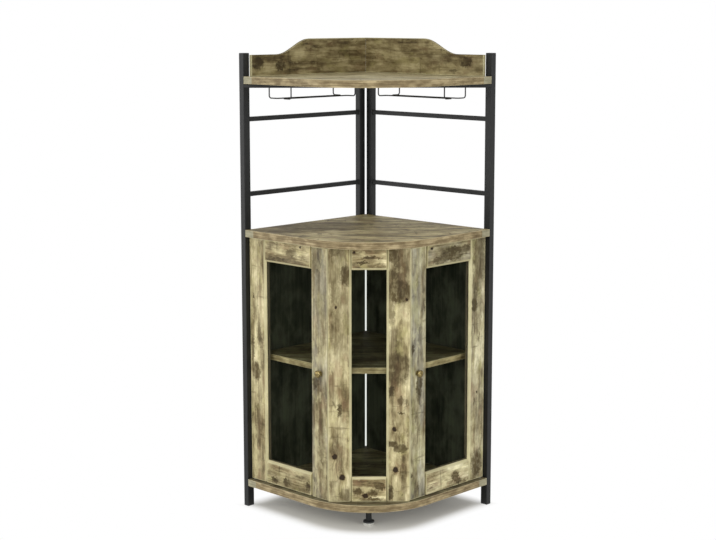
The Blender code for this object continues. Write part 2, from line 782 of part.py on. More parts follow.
def rounded_path(corners, radius, steps):
    """The path through the corners, each inner right-angled corner made a quarter arc."""
    path = [corners[0]]
    for before, corner, after in zip(corners, corners[1:], corners[2:]):
        arrive = [(b - c) / math.dist(before, corner) for b, c in zip(before, corner)]
        leave = [(a - c) / math.dist(after, corner) for a, c in zip(after, corner)]
        for step in range(steps + 1):
            angle = QUARTER_TURN * step / steps
            back = radius * (1 - math.sin(angle))
            forth = radius * (1 - math.cos(angle))
            path.append(
                tuple(c + back * a + forth * b for c, a, b in zip(corner, arrive, leave))
            )
    path.append(corners[-1])
    return path


def make_rack_wire(side, name, direction, shelf):
    """One wire of a glass rack: down from the shelf, in to the slot, back beside it, out and up again."""
    rail = RACK_CENTRE + direction * RACK_SLOT / 2
    leg = RACK_CENTRE + direction * RACK_LEG_SPREAD / 2
    low = SHELF_UNDERSIDE - RACK_DROP
    high = SHELF_UNDERSIDE + RACK_SOCKET
    corners = [
        side.place(RACK_FRONT, leg, high),
        side.place(RACK_FRONT, leg, low),
        side.place(RACK_FRONT, rail, low),
        side.place(RACK_BACK, rail, low),
        side.place(RACK_BACK, leg, low),
        side.place(RACK_BACK, leg, high),
    ]
    path = rounded_path(corners, RACK_BEND, RACK_BEND_STEPS)
    piece(name, wire_mesh(path, WIRE_RADIUS), "black_steel", side.frame, (0, 0, 0))
    socket_length = RACK_SOCKET + FIT + OVERRUN
    for position, along in (("front", RACK_FRONT), ("rear", RACK_BACK)):
        socket = helper(
            f"{name}_{position}_socket",
            cylinder_mesh(WIRE_RADIUS + FIT, socket_length, SMALL_ROUND_SIDES),
            side.frame,
            side.place(along, leg, high + FIT - socket_length / 2),
        )
        cut(shelf, socket)


def make_materials():
    material("weathered_wood", (0.31, 0.25, 0.16), 0.55)
    material("black_steel", (0.014, 0.014, 0.015), 0.42, metallic=0.1)
    material("black_panel", (0.012, 0.012, 0.011), 0.6)
    material("glass", (0.72, 0.78, 0.74), 0.03, transmission=1.0)
    material("antique_bronze", (0.16, 0.10, 0.05), 0.38, metallic=1.0)
    material("zinc_steel", (0.55, 0.56, 0.57), 0.35, metallic=1.0)
    material("black_plastic", (0.016, 0.016, 0.016), 0.55)
    material("grey_plastic", (0.55, 0.55, 0.53), 0.5)


def main():
    clear_scene()
    new_collection(PART)
    new_collection("helpers")
    make_materials()
    base = make_board("base_board", BASE_UNDERSIDE)
    worktop = make_board("worktop", WORKTOP_UNDERSIDE)
    shelf = make_board("top_shelf", SHELF_UNDERSIDE)
    sides = (
        Side("left", 1, -3 * EIGHTH_TURN),
        Side("right", -1, -EIGHTH_TURN),
    )
    for side in sides:
        make_side_frame(side)
        make_gallery(side)
        make_side_panel(side)
        make_door(side, base, worktop)
        make_catch(side)
        make_rack_wire(side, f"{side.name}_rack_wall_wire", -1, shelf)
        make_rack_wire(side, f"{side.name}_rack_room_wire", 1, shelf)
    make_cross_bar(sides)
    make_inner_shelf()
    make_centre_panel()
    make_centre_leg()


main()
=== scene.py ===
"""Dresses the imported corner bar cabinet: finishes, fasteners and trim, studio and camera.

Metres, +Z up, the front towards -Y. A place in the cabinet is given in the wall frame of its side: how far
along the wall it is from the room's corner, how far inward from the wall, and how high.
"""

import logging
import math
from collections.abc import Callable, Sequence
from dataclasses import dataclass
from types import SimpleNamespace
from typing import NamedTuple

import bpy
from mathutils import Matrix, Vector


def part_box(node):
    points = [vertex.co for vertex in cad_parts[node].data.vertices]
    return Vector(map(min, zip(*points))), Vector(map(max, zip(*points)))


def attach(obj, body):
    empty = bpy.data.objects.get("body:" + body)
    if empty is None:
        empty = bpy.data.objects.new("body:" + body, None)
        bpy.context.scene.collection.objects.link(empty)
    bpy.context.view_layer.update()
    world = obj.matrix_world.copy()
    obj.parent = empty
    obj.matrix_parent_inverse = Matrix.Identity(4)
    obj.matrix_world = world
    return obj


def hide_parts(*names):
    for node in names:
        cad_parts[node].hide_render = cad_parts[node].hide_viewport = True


LOG = logging.getLogger("corner_bar_cabinet")
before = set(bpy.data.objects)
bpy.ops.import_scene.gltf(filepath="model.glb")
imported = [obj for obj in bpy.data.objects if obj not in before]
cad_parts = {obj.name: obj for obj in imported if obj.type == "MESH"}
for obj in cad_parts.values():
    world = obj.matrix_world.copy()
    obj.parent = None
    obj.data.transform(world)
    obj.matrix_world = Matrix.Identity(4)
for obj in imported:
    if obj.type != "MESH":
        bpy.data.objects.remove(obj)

Colour = tuple[float, float, float, float]
Material = bpy.types.Material
Mesh = bpy.types.Mesh
Point = tuple[float, float, float]

ROOM_CORNER = Vector((0.0, 0.348465, 0.0))
UP = Vector((0.0, 0.0, 1.0))
WHITE = (1.0, 1.0, 1.0, 1.0)
MM = 0.001
CARCASS = "carcass"

SHARP_ANGLE = math.radians(35)
HEAD_SIDES = 24
KNOB_SIDES = 40
CORNER_STEPS = 5
SURFACE_GAP = 0.0001
GRAIN_DEPTH = 0.0003
PEEL_DEPTH = 0.0002
THREAD_DEPTH = 0.0005

# The seeds of the random draws. The gallery and the side frames add the side's hand, -1 or 1, and the doors
# add ten times that. Boards and the members of a glazed frame then count up in their order. The screws' seeds
# are the same on both sides.
BOARD_SEED = 3
GALLERY_SEED = 21
FRAME_SEED = 11
DOOR_SEED = 40
CENTRE_SEED = 60
KNOB_SCREW_SEED = 3
GALLERY_SCREW_SEED = 5
STRIKE_SCREW_SEED = 7
CATCH_SCREW_SEED = 9
LEG_SCREW_SEED = 13

# How far the print is moved along each axis from one seed to the next.
DRIFT_STEPS = (3.17, 1.31, 0.73)

# How far the outlines of knots, and of stained patches and patches of painted shade, wander.
KNOT_RAGGED = 0.009
STAIN_AND_SHADE_RAGGED = 0.024

# How far to the side of the cabinet's middle the boards' bands turn paler. No board reaches the second one.
PALE_END = 0.3515
NO_PALE_END = 9.0

# The type of a node group's port, by its name. Every other port is a number.
SOCKET_TYPES = {
    "NodeSocketVector": ("place", "facing", "origin", "grain", "across", "centre", "reach", "drift", "body"),
    "NodeSocketColor": ("colour", "tint"),
    "NodeSocketGeometry": ("geometry",),
    "NodeSocketObject": ("head",),
    "NodeSocketInt": ("seed",),
}


def srgb(red: int, green: int, blue: int) -> Colour:
    """Turn an 8-bit screen colour into the linear colour that shaders take.

    Args:
        red: Red, 0 to 255.
        green: Green, 0 to 255.
        blue: Blue, 0 to 255.

    Returns:
        The linear colour, with an alpha of 1.
    """
    shares = [level / 255 for level in (red, green, blue)]
    linear = [s / 12.92 if s <= 0.04045 else ((s + 0.055) / 1.055) ** 2.4 for s in shares]
    return (linear[0], linear[1], linear[2], 1.0)


class Signal:
    """An output of a node, which further nodes are built on."""

    def __init__(self, graph: "Graph", socket: bpy.types.NodeSocket) -> None:
        """Wrap an output."""
        self.graph = graph
        self.socket = socket

    def math(self, operation: str, other: "Value" = 0.0) -> "Signal":
        """Return the result of a Math node."""
        return self.graph.signal("ShaderNodeMath", {0: self, 1: other}, operation=operation)

    def __add__(self, other: "Value") -> "Signal":
        """Return the sum."""
        return self.math("ADD", other)

    def __sub__(self, other: "Value") -> "Signal":
        """Return the difference."""
        return self.math("SUBTRACT", other)

    def __mul__(self, other: "Value") -> "Signal":
        """Return the product."""
        return self.math("MULTIPLY", other)

    def max(self, other: "Value") -> "Signal":
        """Return the larger one."""
        return self.math("MAXIMUM", other)

    def min(self, other: "Value") -> "Signal":
        """Return the smaller one."""
        return self.math("MINIMUM", other)

    def vector(self, operation: str, other: "Value" = (0.0, 0.0, 0.0), output: str = "Vector") -> "Signal":
        """Return the result of a Vector Math node. Its output named Value is a number."""
        return self.graph.signal("ShaderNodeVectorMath", {0: self, 1: other}, output, operation=operation)

    def parts(self) -> list["Signal"]:
        """Return the three parts of a vector."""
        node = self.graph.add("ShaderNodeSeparateXYZ", {0: self})
        return [Signal(self.graph, socket) for socket in node.outputs]

    def span(self, low: float, high: float, start: float = 0.0, end: float = 1.0) -> "Signal":
        """Return the value mapped smoothly from low..high to start..end, and held beyond them."""
        inputs = {0: self, 1: low, 2: high, 3: start, 4: end}
        return self.graph.signal("ShaderNodeMapRange", inputs, interpolation_type="SMOOTHSTEP")

    def noise(self, cells: Point, detail: float = 3.0, roughness: float = 0.55) -> "Signal":
        """Make noise at this place.

        Args:
            cells: The number of cells in a metre along each axis.
            detail: How many finer layers it has.
            roughness: How much the finer layers weigh.

        Returns:
            The noise.
        """
        scaled = self.vector("MULTIPLY", cells)
        inputs = {"Vector": scaled, "Scale": 1.0, "Detail": detail, "Roughness": roughness}
        return self.graph.signal("ShaderNodeTexNoise", inputs)

    def ramp(self, stops: dict[float, tuple[int, int, int]]) -> "Signal":
        """Look the value up in a colour ramp.

        Args:
            stops: The screen colour at each of the ramp's places.

        Returns:
            The colour.
        """
        node = self.graph.add("ShaderNodeValToRGB", {0: self})
        elements = node.color_ramp.elements
        while len(elements) < len(stops):
            elements.new(1.0)
        for element, (place, colour) in zip(elements, stops.items()):
            element.position = place
            element.color = srgb(*colour)
        return Signal(self.graph, node.outputs[0])


Value = Signal | float | Sequence[float]
Inputs = dict[int | str, Value]


class Graph:
    """A node tree that is being built."""

    def __init__(self, tree: bpy.types.NodeTree) -> None:
        """Start on a tree."""
        self.tree = tree

    def feed(self, node: bpy.types.Node, inputs: Inputs) -> None:
        """Link or set a node's inputs.

        Args:
            node: The node.
            inputs: A signal to link or a value to set, for each input.
        """
        for key, value in inputs.items():
            if isinstance(value, Signal):
                self.tree.links.new(value.socket, node.inputs[key])
            else:
                node.inputs[key].default_value = value

    def add(self, kind: str, inputs: Inputs | None = None, **settings: object) -> bpy.types.Node:
        """Add a node.

        Args:
            kind: The node's type.
            inputs: A signal or a value for each input.
            **settings: The node's own settings, set before its inputs.

        Returns:
            The node.
        """
        node = self.tree.nodes.new(kind)
        for name, setting in settings.items():
            setattr(node, name, setting)
        self.feed(node, inputs or {})
        return node

    def signal(
        self, kind: str, inputs: Inputs | None = None, output: int | str = 0, **settings: object
    ) -> Signal:
        """Add a node and return one of its outputs."""
        return Signal(self, self.add(kind, inputs, **settings).outputs[output])

    def group(self, tree: bpy.types.NodeTree, **inputs: Value) -> SimpleNamespace:
        """Place a shared group and return its outputs."""
        node = self.add("ShaderNodeGroup", inputs, node_tree=tree)
        return SimpleNamespace(**{socket.name: Signal(self, socket) for socket in node.outputs})

    def together(self, x: Value, y: Value, z: Value) -> Signal:
        """Return a vector made of three numbers."""
        return self.signal("ShaderNodeCombineXYZ", {0: x, 1: y, 2: z})

    def mix(self, share: Value, first: Value, second: Value, blend: str = "MIX") -> Signal:
        """Return a mix of two colours, whose sockets only their numbers tell apart from others."""
        inputs = {0: share, 6: first, 7: second}
        return self.signal("ShaderNodeMix", inputs, 2, data_type="RGBA", blend_type=blend)

    def coats(self, colour: Signal, *coats: tuple[Value, Value]) -> Signal:
        """Lay coats over a colour.

        Args:
            colour: The colour to start from.
            *coats: The share and the colour of each coat, in their order.

        Returns:
            The colour that shows.
        """
        for share, coat in coats:
            colour = self.mix(share, colour, coat)
        return colour


Ports = dict[str, Signal]


def build_group(
    name: str, body: Callable[[Graph, SimpleNamespace], Ports], takes: str, gives: str
) -> bpy.types.NodeTree:
    """Build a node group, of Geometry Nodes where it gives geometry and otherwise of shader nodes.

    Args:
        name: The group's name.
        body: Adds the nodes: it takes the inputs and returns what each output is fed with.
        takes: The names of the inputs, with spaces between them.
        gives: The names of the outputs.

    Returns:
        The group.
    """
    tree = bpy.data.node_groups.new(name, "GeometryNodeTree" if gives == "geometry" else "ShaderNodeTree")
    for ports, way in ((takes, "INPUT"), (gives, "OUTPUT")):
        for port in ports.split():
            kind = next((kind for kind, names in SOCKET_TYPES.items() if port in names), "NodeSocketFloat")
            tree.interface.new_socket(name=port, in_out=way, socket_type=kind)
    graph = Graph(tree)
    source = graph.add("NodeGroupInput")
    inputs = SimpleNamespace(**{port: Signal(graph, source.outputs[port]) for port in takes.split()})
    graph.add("NodeGroupOutput", body(graph, inputs))
    return tree


def lay_board(graph: Graph, ports: SimpleNamespace) -> Ports:
    """Measure a board along its grain, across it and through its thickness.

    Args:
        graph: The group's graph.
        ports: The board's corner and the directions of its grain and across it.

    Returns:
        The place and the surface's facing in those directions.
    """
    place = graph.signal("ShaderNodeTexCoord", output="Object").vector("SUBTRACT", ports.origin)
    facing = graph.signal("ShaderNodeTexCoord", output="Normal")
    axes = (ports.grain, ports.across, ports.grain.vector("CROSS_PRODUCT", ports.across))
    turned = [[item.vector("DOT_PRODUCT", axis, "Value") for axis in axes] for item in (place, facing)]
    return {"place": graph.together(*turned[0]), "facing": graph.together(*turned[1])}


def draw_spot(graph: Graph, ports: SimpleNamespace) -> Ports:
    """Draw a ragged oval on a board's face.

    Args:
        graph: The group's graph.
        ports: The place, and the spot's centre, reach, weight and raggedness.

    Returns:
        The oval's mask, and that of a wider soft one round it.
    """
    wobble = graph.signal("ShaderNodeTexNoise", {"Vector": ports.place, "Scale": 130.0, "Detail": 3.0}, 1)
    ragged = graph.together(ports.ragged, ports.ragged, ports.ragged)
    shift = wobble.vector("SUBTRACT", (0.5, 0.5, 0.5)).vector("MULTIPLY", ragged)
    offset = ports.place.vector("ADD", shift).vector("SUBTRACT", ports.centre)
    flat = offset.vector("DIVIDE", ports.reach).vector("MULTIPLY", (1.0, 1.0, 0.0))
    distance = flat.vector("LENGTH", output="Value")
    return {"mask": distance.span(1.15, 0.68) * ports.weight, "halo": distance.span(2.6, 0.6)}


def draw_grain(graph: Graph, ports: SimpleNamespace) -> Ports:
    """Draw weathered softwood: streaks along the grain, patches, stained patches with painted shade among
    them, knots and cracks.

    Args:
        graph: The group's graph.
        ports: The place, the masks of the stained and shaded patches and of the knots, how grey the wood is,
            and its tint.

    Returns:
        The colour, the roughness and the relief's height.
    """
    place = ports.place.vector("ADD", ports.drift)
    bend = ports.halo * 0.006 + (place.noise((4, 15, 15), 2) * 0.016 - 0.008)
    bent = place.vector("ADD", graph.together(0.0, bend, 0.0))
    broad = bent.noise((5, 52, 52), 5, 0.62).span(0.33, 0.67)
    fine = bent.noise((14, 230, 230), 3, 0.6).span(0.30, 0.70)
    hair = bent.noise((24, 1100, 1100), 2, 0.5).span(0.35, 0.65)
    mottle = bent.noise((30, 60, 60), 5, 0.68).span(0.33, 0.67)
    patch = place.noise((8, 18, 18), 3).span(0.34, 0.66)
    tone = (patch * 0.33 + broad * 0.28 + mottle * 0.22 + fine * 0.12 + hair * 0.05) * 1.45 - 0.22
    tones = {
        0.0: (74, 62, 39),
        0.25: (118, 105, 72),
        0.5: (157, 145, 107),
        0.75: (188, 177, 136),
        1.0: (222, 212, 170),
    }
    faded = place.noise((5, 26, 26), 3).span(0.42, 0.62)
    hue = place.noise((13, 26, 26), 4, 0.6)
    scrape = place.noise((16, 30, 30), 5, 0.68).span(0.56, 0.62)
    colour = graph.coats(
        tone.ramp(tones),
        (faded * ports.greyness, graph.mix(tone, srgb(104, 97, 80), srgb(182, 174, 150))),
        (hue.span(0.54, 0.68) * 0.35, srgb(146, 116, 86)),
        (hue.span(0.45, 0.33) * 0.35, srgb(176, 170, 112)),
        (scrape * 0.42, srgb(208, 198, 152)),
    )
    blotch = place.noise((17, 34, 34), 5, 0.7).span(0.585, 0.69)
    band = place.noise((62, 9, 9), 4, 0.6).span(0.60, 0.70)
    flake = place.noise((50, 75, 75), 4, 0.62).span(0.42, 0.62, 1.0, 0.72)
    # The stained patches, with the board's patches of painted shade among them, darken the wood.
    stain = (blotch * 0.7).max(band * 0.45).max(ports.stain * flake)
    dull = graph.mix(0.45, colour, srgb(150, 140, 112))
    rings = (bent.noise((1.5, 17, 17), 3) * 12.0).math("PINGPONG", 1.0)
    crack = bent.noise((3, 210, 210), 2).span(0.66, 0.71) * 0.7
    knot_ring = ports.halo * (ports.halo * 26.0).math("SINE").span(0.0, 1.0)
    knot_core = ports.knot.math("POWER", 2.5)
    colour = graph.coats(
        colour,
        (stain, graph.mix(1.0, dull, (0.215, 0.18, 0.125, 1.0), "MULTIPLY")),
        (rings.span(0.34, 0.0) * patch.span(1.3, 0.0) * 0.42, srgb(92, 76, 46)),
        (crack, srgb(74, 60, 38)),
        (knot_ring * 0.35, srgb(112, 90, 58)),
        (ports.knot, graph.mix(knot_core, srgb(104, 82, 50), srgb(42, 30, 15))),
    )
    return {
        "colour": graph.mix(1.0, colour, ports.tint, "MULTIPLY"),
        "roughness": stain * 0.10 + (fine * 0.12 + 0.50),
        "height": hair * 0.4 + fine - crack.max(ports.knot),
    }


def draw_edges(graph: Graph, ports: SimpleNamespace) -> Ports:
    """Draw a painted highlight on the chamfers and a pale line along the edges of a stile or rail, partly
    wear and partly painted highlight.

    Args:
        graph: The group's graph.
        ports: The place, the facing, the wood's colour, and the member's width and length.

    Returns:
        The colour.
    """
    tilt = ports.facing.parts()[2].math("ABSOLUTE")
    # The chamfers turn pale by their facing: a painted highlight.
    chamfer = tilt.span(0.30, 0.5) * tilt.span(0.92, 0.80)
    along, across, _ = ports.place.parts()
    to_side = across.math("ABSOLUTE").min((ports.width - across).math("ABSOLUTE"))
    to_end = along.math("ABSOLUTE").min((ports.length - along).math("ABSOLUTE"))
    wander = ports.place.noise((50, 50, 50), 3) * 0.0022
    # A pale line along the edges: partly wear, partly a painted highlight.
    line = (to_side.min(to_end) - wander).span(0.0013, 0.0004)
    return {"colour": graph.mix((chamfer * 0.66).max(line * 0.5), ports.colour, srgb(203, 196, 156))}


def draw_banding(graph: Graph, ports: SimpleNamespace) -> Ports:
    """Draw a printed band on a board's edges, paler at its ends, and rounded corners made pale by their
    facing, partly wear and partly a painted highlight.

    Args:
        graph: The group's graph.
        ports: The place in the cabinet, the facing, the wood's colour, and where the paler ends begin.

    Returns:
        The colour.
    """
    tilt = ports.facing.parts()[2].math("ABSOLUTE")
    streak = ports.body.noise((7, 7, 300), 4, 0.6).span(0.30, 0.70)
    patch = ports.body.noise((26, 26, 60), 4, 0.6).span(0.32, 0.68)
    tone = streak * 0.5 + patch * 0.5
    tones = {0.0: (84, 70, 46), 0.35: (118, 103, 74), 0.65: (142, 127, 95), 1.0: (182, 166, 130)}
    end = ports.body.parts()[0].math("ABSOLUTE").math("GREATER_THAN", ports.end)
    pale = graph.mix(tone, srgb(128, 126, 104), srgb(172, 168, 144))
    band = graph.mix(end * 0.8, tone.ramp(tones), pale)
    # The rounded corners turn pale by their facing: partly wear, partly a painted highlight.
    corner = tilt.span(0.10, 0.45) * tilt.span(0.985, 0.85)
    coats = ((tilt.span(0.75, 0.25), band), (corner * 0.8, srgb(206, 192, 156)))
    return {"colour": graph.coats(ports.colour, *coats)}


def draw_peel(graph: Graph, ports: SimpleNamespace) -> Ports:
    """Draw the fine orange peel of paint or moulded plastic, with dust in wide soft patches.

    Args:
        graph: The group's graph.
        ports: The place, the cells in a metre, and the roughness with how much it varies.

    Returns:
        The roughness, the relief's height and the mask of the dust.
    """
    inputs = {"Vector": ports.place, "Scale": ports.cells, "Detail": 2.0}
    wide = ports.place.noise((14, 14, 14), 4, 0.6)
    return {
        "roughness": wide * ports.spread + ports.base,
        "height": graph.signal("ShaderNodeTexNoise", inputs),
        "dust": ports.place.noise((60, 60, 60), 5, 0.7).span(0.45, 0.75),
    }


class Groups:
    """The shader node groups that several finishes use."""

    def __init__(self) -> None:
        """Build every group."""
        wood_inputs = "place drift stain knot halo greyness tint"
        self.lay = build_group("Lay of the board", lay_board, "origin grain across", "place facing")
        self.spot = build_group("Spot", draw_spot, "place centre reach weight ragged", "mask halo")
        self.grain = build_group("Weathered grain", draw_grain, wood_inputs, "colour roughness height")
        self.edges = build_group("Worn edges", draw_edges, "place facing colour width length", "colour")
        self.banding = build_group("Edge banding", draw_banding, "body facing colour end", "colour")
        self.peel = build_group("Peel", draw_peel, "place cells base spread", "roughness height dust")


class Surface:
    """A material that is being made: its Principled shader, its graph and the place on the cabinet."""

    def __init__(self, name: str) -> None:
        """Start a material with nothing but a Principled shader.

        Args:
            name: The material's name.
        """
        self.material = bpy.data.materials.new(name)
        self.material.use_nodes = True
        self.graph = Graph(self.material.node_tree)
        self.shader = self.material.node_tree.nodes["Principled BSDF"]
        self.place = self.graph.signal("ShaderNodeTexCoord", output="Object")

    def set(self, **values: Value) -> None:
        """Set or link the shader's inputs, named with underscores for their spaces."""
        self.graph.feed(self.shader, {name.replace("_", " "): value for name, value in values.items()})

    def relief(self, height: Signal, strength: float, depth: float) -> None:
        """Give the surface a fine relief, so deep in metres, of which a share shows."""
        inputs = {"Strength": strength, "Distance": depth, "Height": height}
        self.set(Normal=self.graph.signal("ShaderNodeBump", inputs))

    def cover(self, share: Signal, shader: Signal) -> None:
        """Put another shader over the Principled one.

        Args:
            share: How much of the other shader shows.
            shader: The other shader.
        """
        inputs = {0: share, 1: Signal(self.graph, self.shader.outputs[0]), 2: shader}
        output = self.material.node_tree.nodes["Material Output"]
        self.graph.feed(output, {"Surface": self.graph.signal("ShaderNodeMixShader", inputs)})


def extent(node: str, axes: Sequence[Vector], start: Vector = Vector()) -> tuple[Vector, Vector]:
    """Measure a CAD node along three axes.

    Args:
        node: The node's name.
        axes: The three directions.
        start: The point that distances are counted from.

    Returns:
        The lowest and the highest distance along each axis.
    """
    offsets = [vertex.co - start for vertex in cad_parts[node].data.vertices]
    low = Vector(min(offset.dot(axis) for offset in offsets) for axis in axes)
    high = Vector(max(offset.dot(axis) for offset in offsets) for axis in axes)
    return low, high


def finish_nodes(material: Material, *nodes: str) -> None:
    """Give CAD nodes their finish.

    Args:
        material: The finish.
        *nodes: The nodes' names.
    """
    for node in nodes:
        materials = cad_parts[node].data.materials
        if not materials:
            materials.append(material)
        for index in range(len(materials)):
            materials[index] = material


class Spot(NamedTuple):
    """A knot, a stained patch or a weak broad patch of painted shade: its place along and across a board, its
    reach each way in mm, and its weight.
    """

    along: float
    across: float
    long: float
    wide: float
    weight: float = 1.0


@dataclass(frozen=True)
class Marks:
    """What a board's print shows: how grey, bright and warm it is, and its spots as Spot rows; a low
    brightness and weak broad spots paint shade.
    """

    greyness: float
    brightness: float
    warmth: float = 0.0
    stains_and_shade: tuple[tuple[float, ...], ...] = ()
    knots: tuple[tuple[float, ...], ...] = ()

    def tint(self) -> Colour:
        """Return the colour that multiplies the print."""
        shares = (1 + self.warmth, 1.0, 1 - 2 * self.warmth)
        return (*(self.brightness * share for share in shares), 1.0)


@dataclass(frozen=True)
class WoodPiece:
    """A CAD node in matt weathered wood print, laid along its grain.

    A board has banded edges, which are paler further out than pale_end, and pale rounded corners that are
    partly wear and partly painted highlight. Other pieces have rubbed edges with a painted highlight and no
    pale_end. The marks of a mirrored piece are counted from its other long edge.
    """

    node: str
    grain: Vector
    across: Vector
    marks: Marks
    seed: int
    pale_end: float | None = None
    mirrored: bool = False

    def finish(self, groups: Groups) -> None:
        """Give the node its own print.

        Args:
            groups: The shared groups.
        """
        axes = (self.grain, self.across, self.grain.cross(self.across))
        low, high = extent(self.node, axes)
        size = high - low
        corner = sum((axis * start for axis, start in zip(axes, low)), Vector())
        surface = Surface(f"{self.node}_wood")
        graph = surface.graph
        lay = graph.group(groups.lay, origin=corner, grain=self.grain, across=self.across)
        masks = []
        for rows, ragged in ((self.marks.knots, KNOT_RAGGED), (self.marks.stains_and_shade, STAIN_AND_SHADE_RAGGED)):
            mask, halo = 0.0, 0.0
            for spot in (Spot(*row) for row in rows):
                across = size.y - spot.across * MM if self.mirrored else spot.across * MM
                centre = (spot.along * MM, across, 0.0)
                reach = (spot.long * MM, spot.wide * MM, 1.0)
                shape = {"centre": centre, "reach": reach, "weight": spot.weight, "ragged": ragged}
                drawn = graph.group(groups.spot, place=lay.place, **shape)
                mask, halo = drawn.mask.max(mask), drawn.halo.max(halo)
            masks.append((mask, halo))
        (knot, knot_halo), (stain, _) = masks
        drift = tuple(self.seed * step for step in DRIFT_STEPS)
        shades = {"greyness": self.marks.greyness, "tint": self.marks.tint()}
        spots = {"stain": stain, "knot": knot, "halo": knot_halo}
        wood = graph.group(groups.grain, place=lay.place, drift=drift, **spots, **shades)
        given = {"facing": lay.facing, "colour": wood.colour}
        if self.pale_end is None:
            edged = graph.group(groups.edges, place=lay.place, width=size.y, length=size.x, **given)
        else:
            edged = graph.group(groups.banding, body=surface.place, end=self.pale_end, **given)
        surface.set(Base_Color=edged.colour, Roughness=wood.roughness, Specular_IOR_Level=0.2)
        surface.relief(wood.height, 0.30, GRAIN_DEPTH)
        finish_nodes(surface.material, self.node)


@dataclass(frozen=True)
class SprayedFinish:
    """Powder coat, plating or moulded plastic: one colour under a fine relief, with a little dust."""

    name: str
    colour: Colour
    dusty: Colour
    roughness: float
    spread: float
    cells: float
    relief: float = 0.12
    metallic: float = 0.0
    specular: float = 0.5

    def build(self, groups: Groups) -> Material:
        """Make the finish.

        Args:
            groups: The shared groups.

        Returns:
            The finish.
        """
        surface = Surface(self.name)
        settings = {"cells": self.cells, "base": self.roughness, "spread": self.spread}
        peel = surface.graph.group(groups.peel, place=surface.place, **settings)
        surface.set(
            Base_Color=surface.graph.mix(peel.dust * 0.35, self.colour, self.dusty),
            Roughness=peel.roughness,
            Metallic=self.metallic,
            Specular_IOR_Level=self.specular,
        )
        surface.relief(peel.height, self.relief, PEEL_DEPTH)
        return surface.material


# Each finish has its colour and its dusty colour, its roughness with how much that varies, and the relief's
# cells in a metre.
STEEL = SprayedFinish("black_powder_coat", srgb(20, 21, 21), srgb(40, 41, 39), 0.36, 0.12, 900, specular=0.3)
ZINC = SprayedFinish(
    "zinc_plate", srgb(186, 187, 186), srgb(140, 138, 132), 0.26, 0.2, 1500, relief=0.1, metallic=1.0
)
PLASTIC = SprayedFinish("black_moulding", srgb(30, 30, 31), srgb(60, 59, 56), 0.5, 0.1, 1400)
BEAD = SprayedFinish("brown_bead", srgb(70, 60, 44), srgb(104, 92, 70), 0.5, 0.1, 600)


def black_board() -> Material:
    """Make black melamine with a faint upright grain pressed into it.

    Returns:
        The finish.
    """
    surface = Surface("black_melamine")
    streak = surface.place.noise((90, 90, 4.5), 4, 0.6).span(0.35, 0.68)
    cloud = surface.place.noise((16, 16, 9), 4, 0.6).span(0.38, 0.64)
    colour = surface.graph.mix(streak * 0.35 + cloud * 0.65, srgb(30, 31, 24), srgb(74, 75, 63))
    surface.set(Base_Color=colour, Roughness=streak * 0.15 + 0.50, Specular_IOR_Level=0.15)
    surface.relief(streak, 0.25, GRAIN_DEPTH)
    return surface.material


def window_glass() -> Material:
    """Make a clear pane with a faint green tint and a few smears, which lets lamps shine through it.

    Returns:
        The finish.
    """
    surface = Surface("window_glass")
    graph = surface.graph
    smear = surface.place.noise((9, 9, 5), 4, 0.6).span(0.48, 0.72)
    tint = graph.mix(smear, srgb(238, 242, 235), srgb(230, 234, 227))
    surface.set(Base_Color=tint, Roughness=0.0, Transmission_Weight=1.0, IOR=1.0)
    clear = graph.signal("ShaderNodeBsdfTransparent", {"Color": srgb(249, 251, 246)})
    surface.cover(graph.signal("ShaderNodeLightPath", output="Is Shadow Ray"), clear)
    return surface.material


def antique_bronze() -> Material:
    """Make dark bronze, rubbed bright where a hand touches it.

    Returns:
        The finish.
    """
    surface = Surface("antique_bronze_finish")
    cloud = surface.place.noise((260, 260, 260), 5, 0.65).span(0.38, 0.62)
    colour = surface.graph.mix(cloud, srgb(72, 61, 35), srgb(158, 142, 95))
    surface.set(Base_Color=colour, Roughness=cloud * -0.12 + 0.34, Metallic=1.0)
    surface.relief(cloud, 0.2, PEEL_DEPTH)
    return surface.material


def foot_moulding(groups: Groups) -> Material:
    """Make the foot's moulding: a pale pad below a black flange, and turned threads on its stud.

    Args:
        groups: The shared groups.

    Returns:
        The finish.
    """
    pad_top, stud_foot, thread_pitch = 0.008, 0.014, 0.00125
    surface = Surface("foot_moulding")
    graph = surface.graph
    height = surface.place.parts()[2]
    peel = graph.group(groups.peel, place=surface.place, cells=700.0, base=0.42, spread=0.15)
    pad = graph.mix(peel.dust, srgb(196, 196, 190), srgb(170, 170, 162))
    colour = graph.mix(height.math("GREATER_THAN", pad_top), pad, srgb(36, 37, 38))
    surface.set(Base_Color=colour, Roughness=peel.roughness)
    thread = (height * (math.tau / thread_pitch)).math("SINE")
    surface.relief(thread * height.math("GREATER_THAN", stud_foot), 0.8, THREAD_DEPTH)
    return surface.material


@dataclass(frozen=True)
class WallFrame:
    """A side of the cabinet, measured along its wall and inward from it."""

    name: str
    hand: int

    @property
    def along(self) -> Vector:
        """Return the direction along the wall, from the room's corner to the front."""
        return Vector((self.hand, -1, 0)).normalized()

    @property
    def inward(self) -> Vector:
        """Return the direction from the wall into the cabinet."""
        return Vector((-self.hand, -1, 0)).normalized()

    def point(self, along: float, inward: float, height: float) -> Vector:
        """Return the place of a point."""
        return ROOM_CORNER + self.along * along + self.inward * inward + UP * height

    def extent(self, node: str) -> tuple[Vector, Vector]:
        """Return a CAD node's lowest and highest distances along, inward and up."""
        return extent(node, (self.along, self.inward, UP), ROOM_CORNER)


LEFT = WallFrame("left", -1)
RIGHT = WallFrame("right", 1)


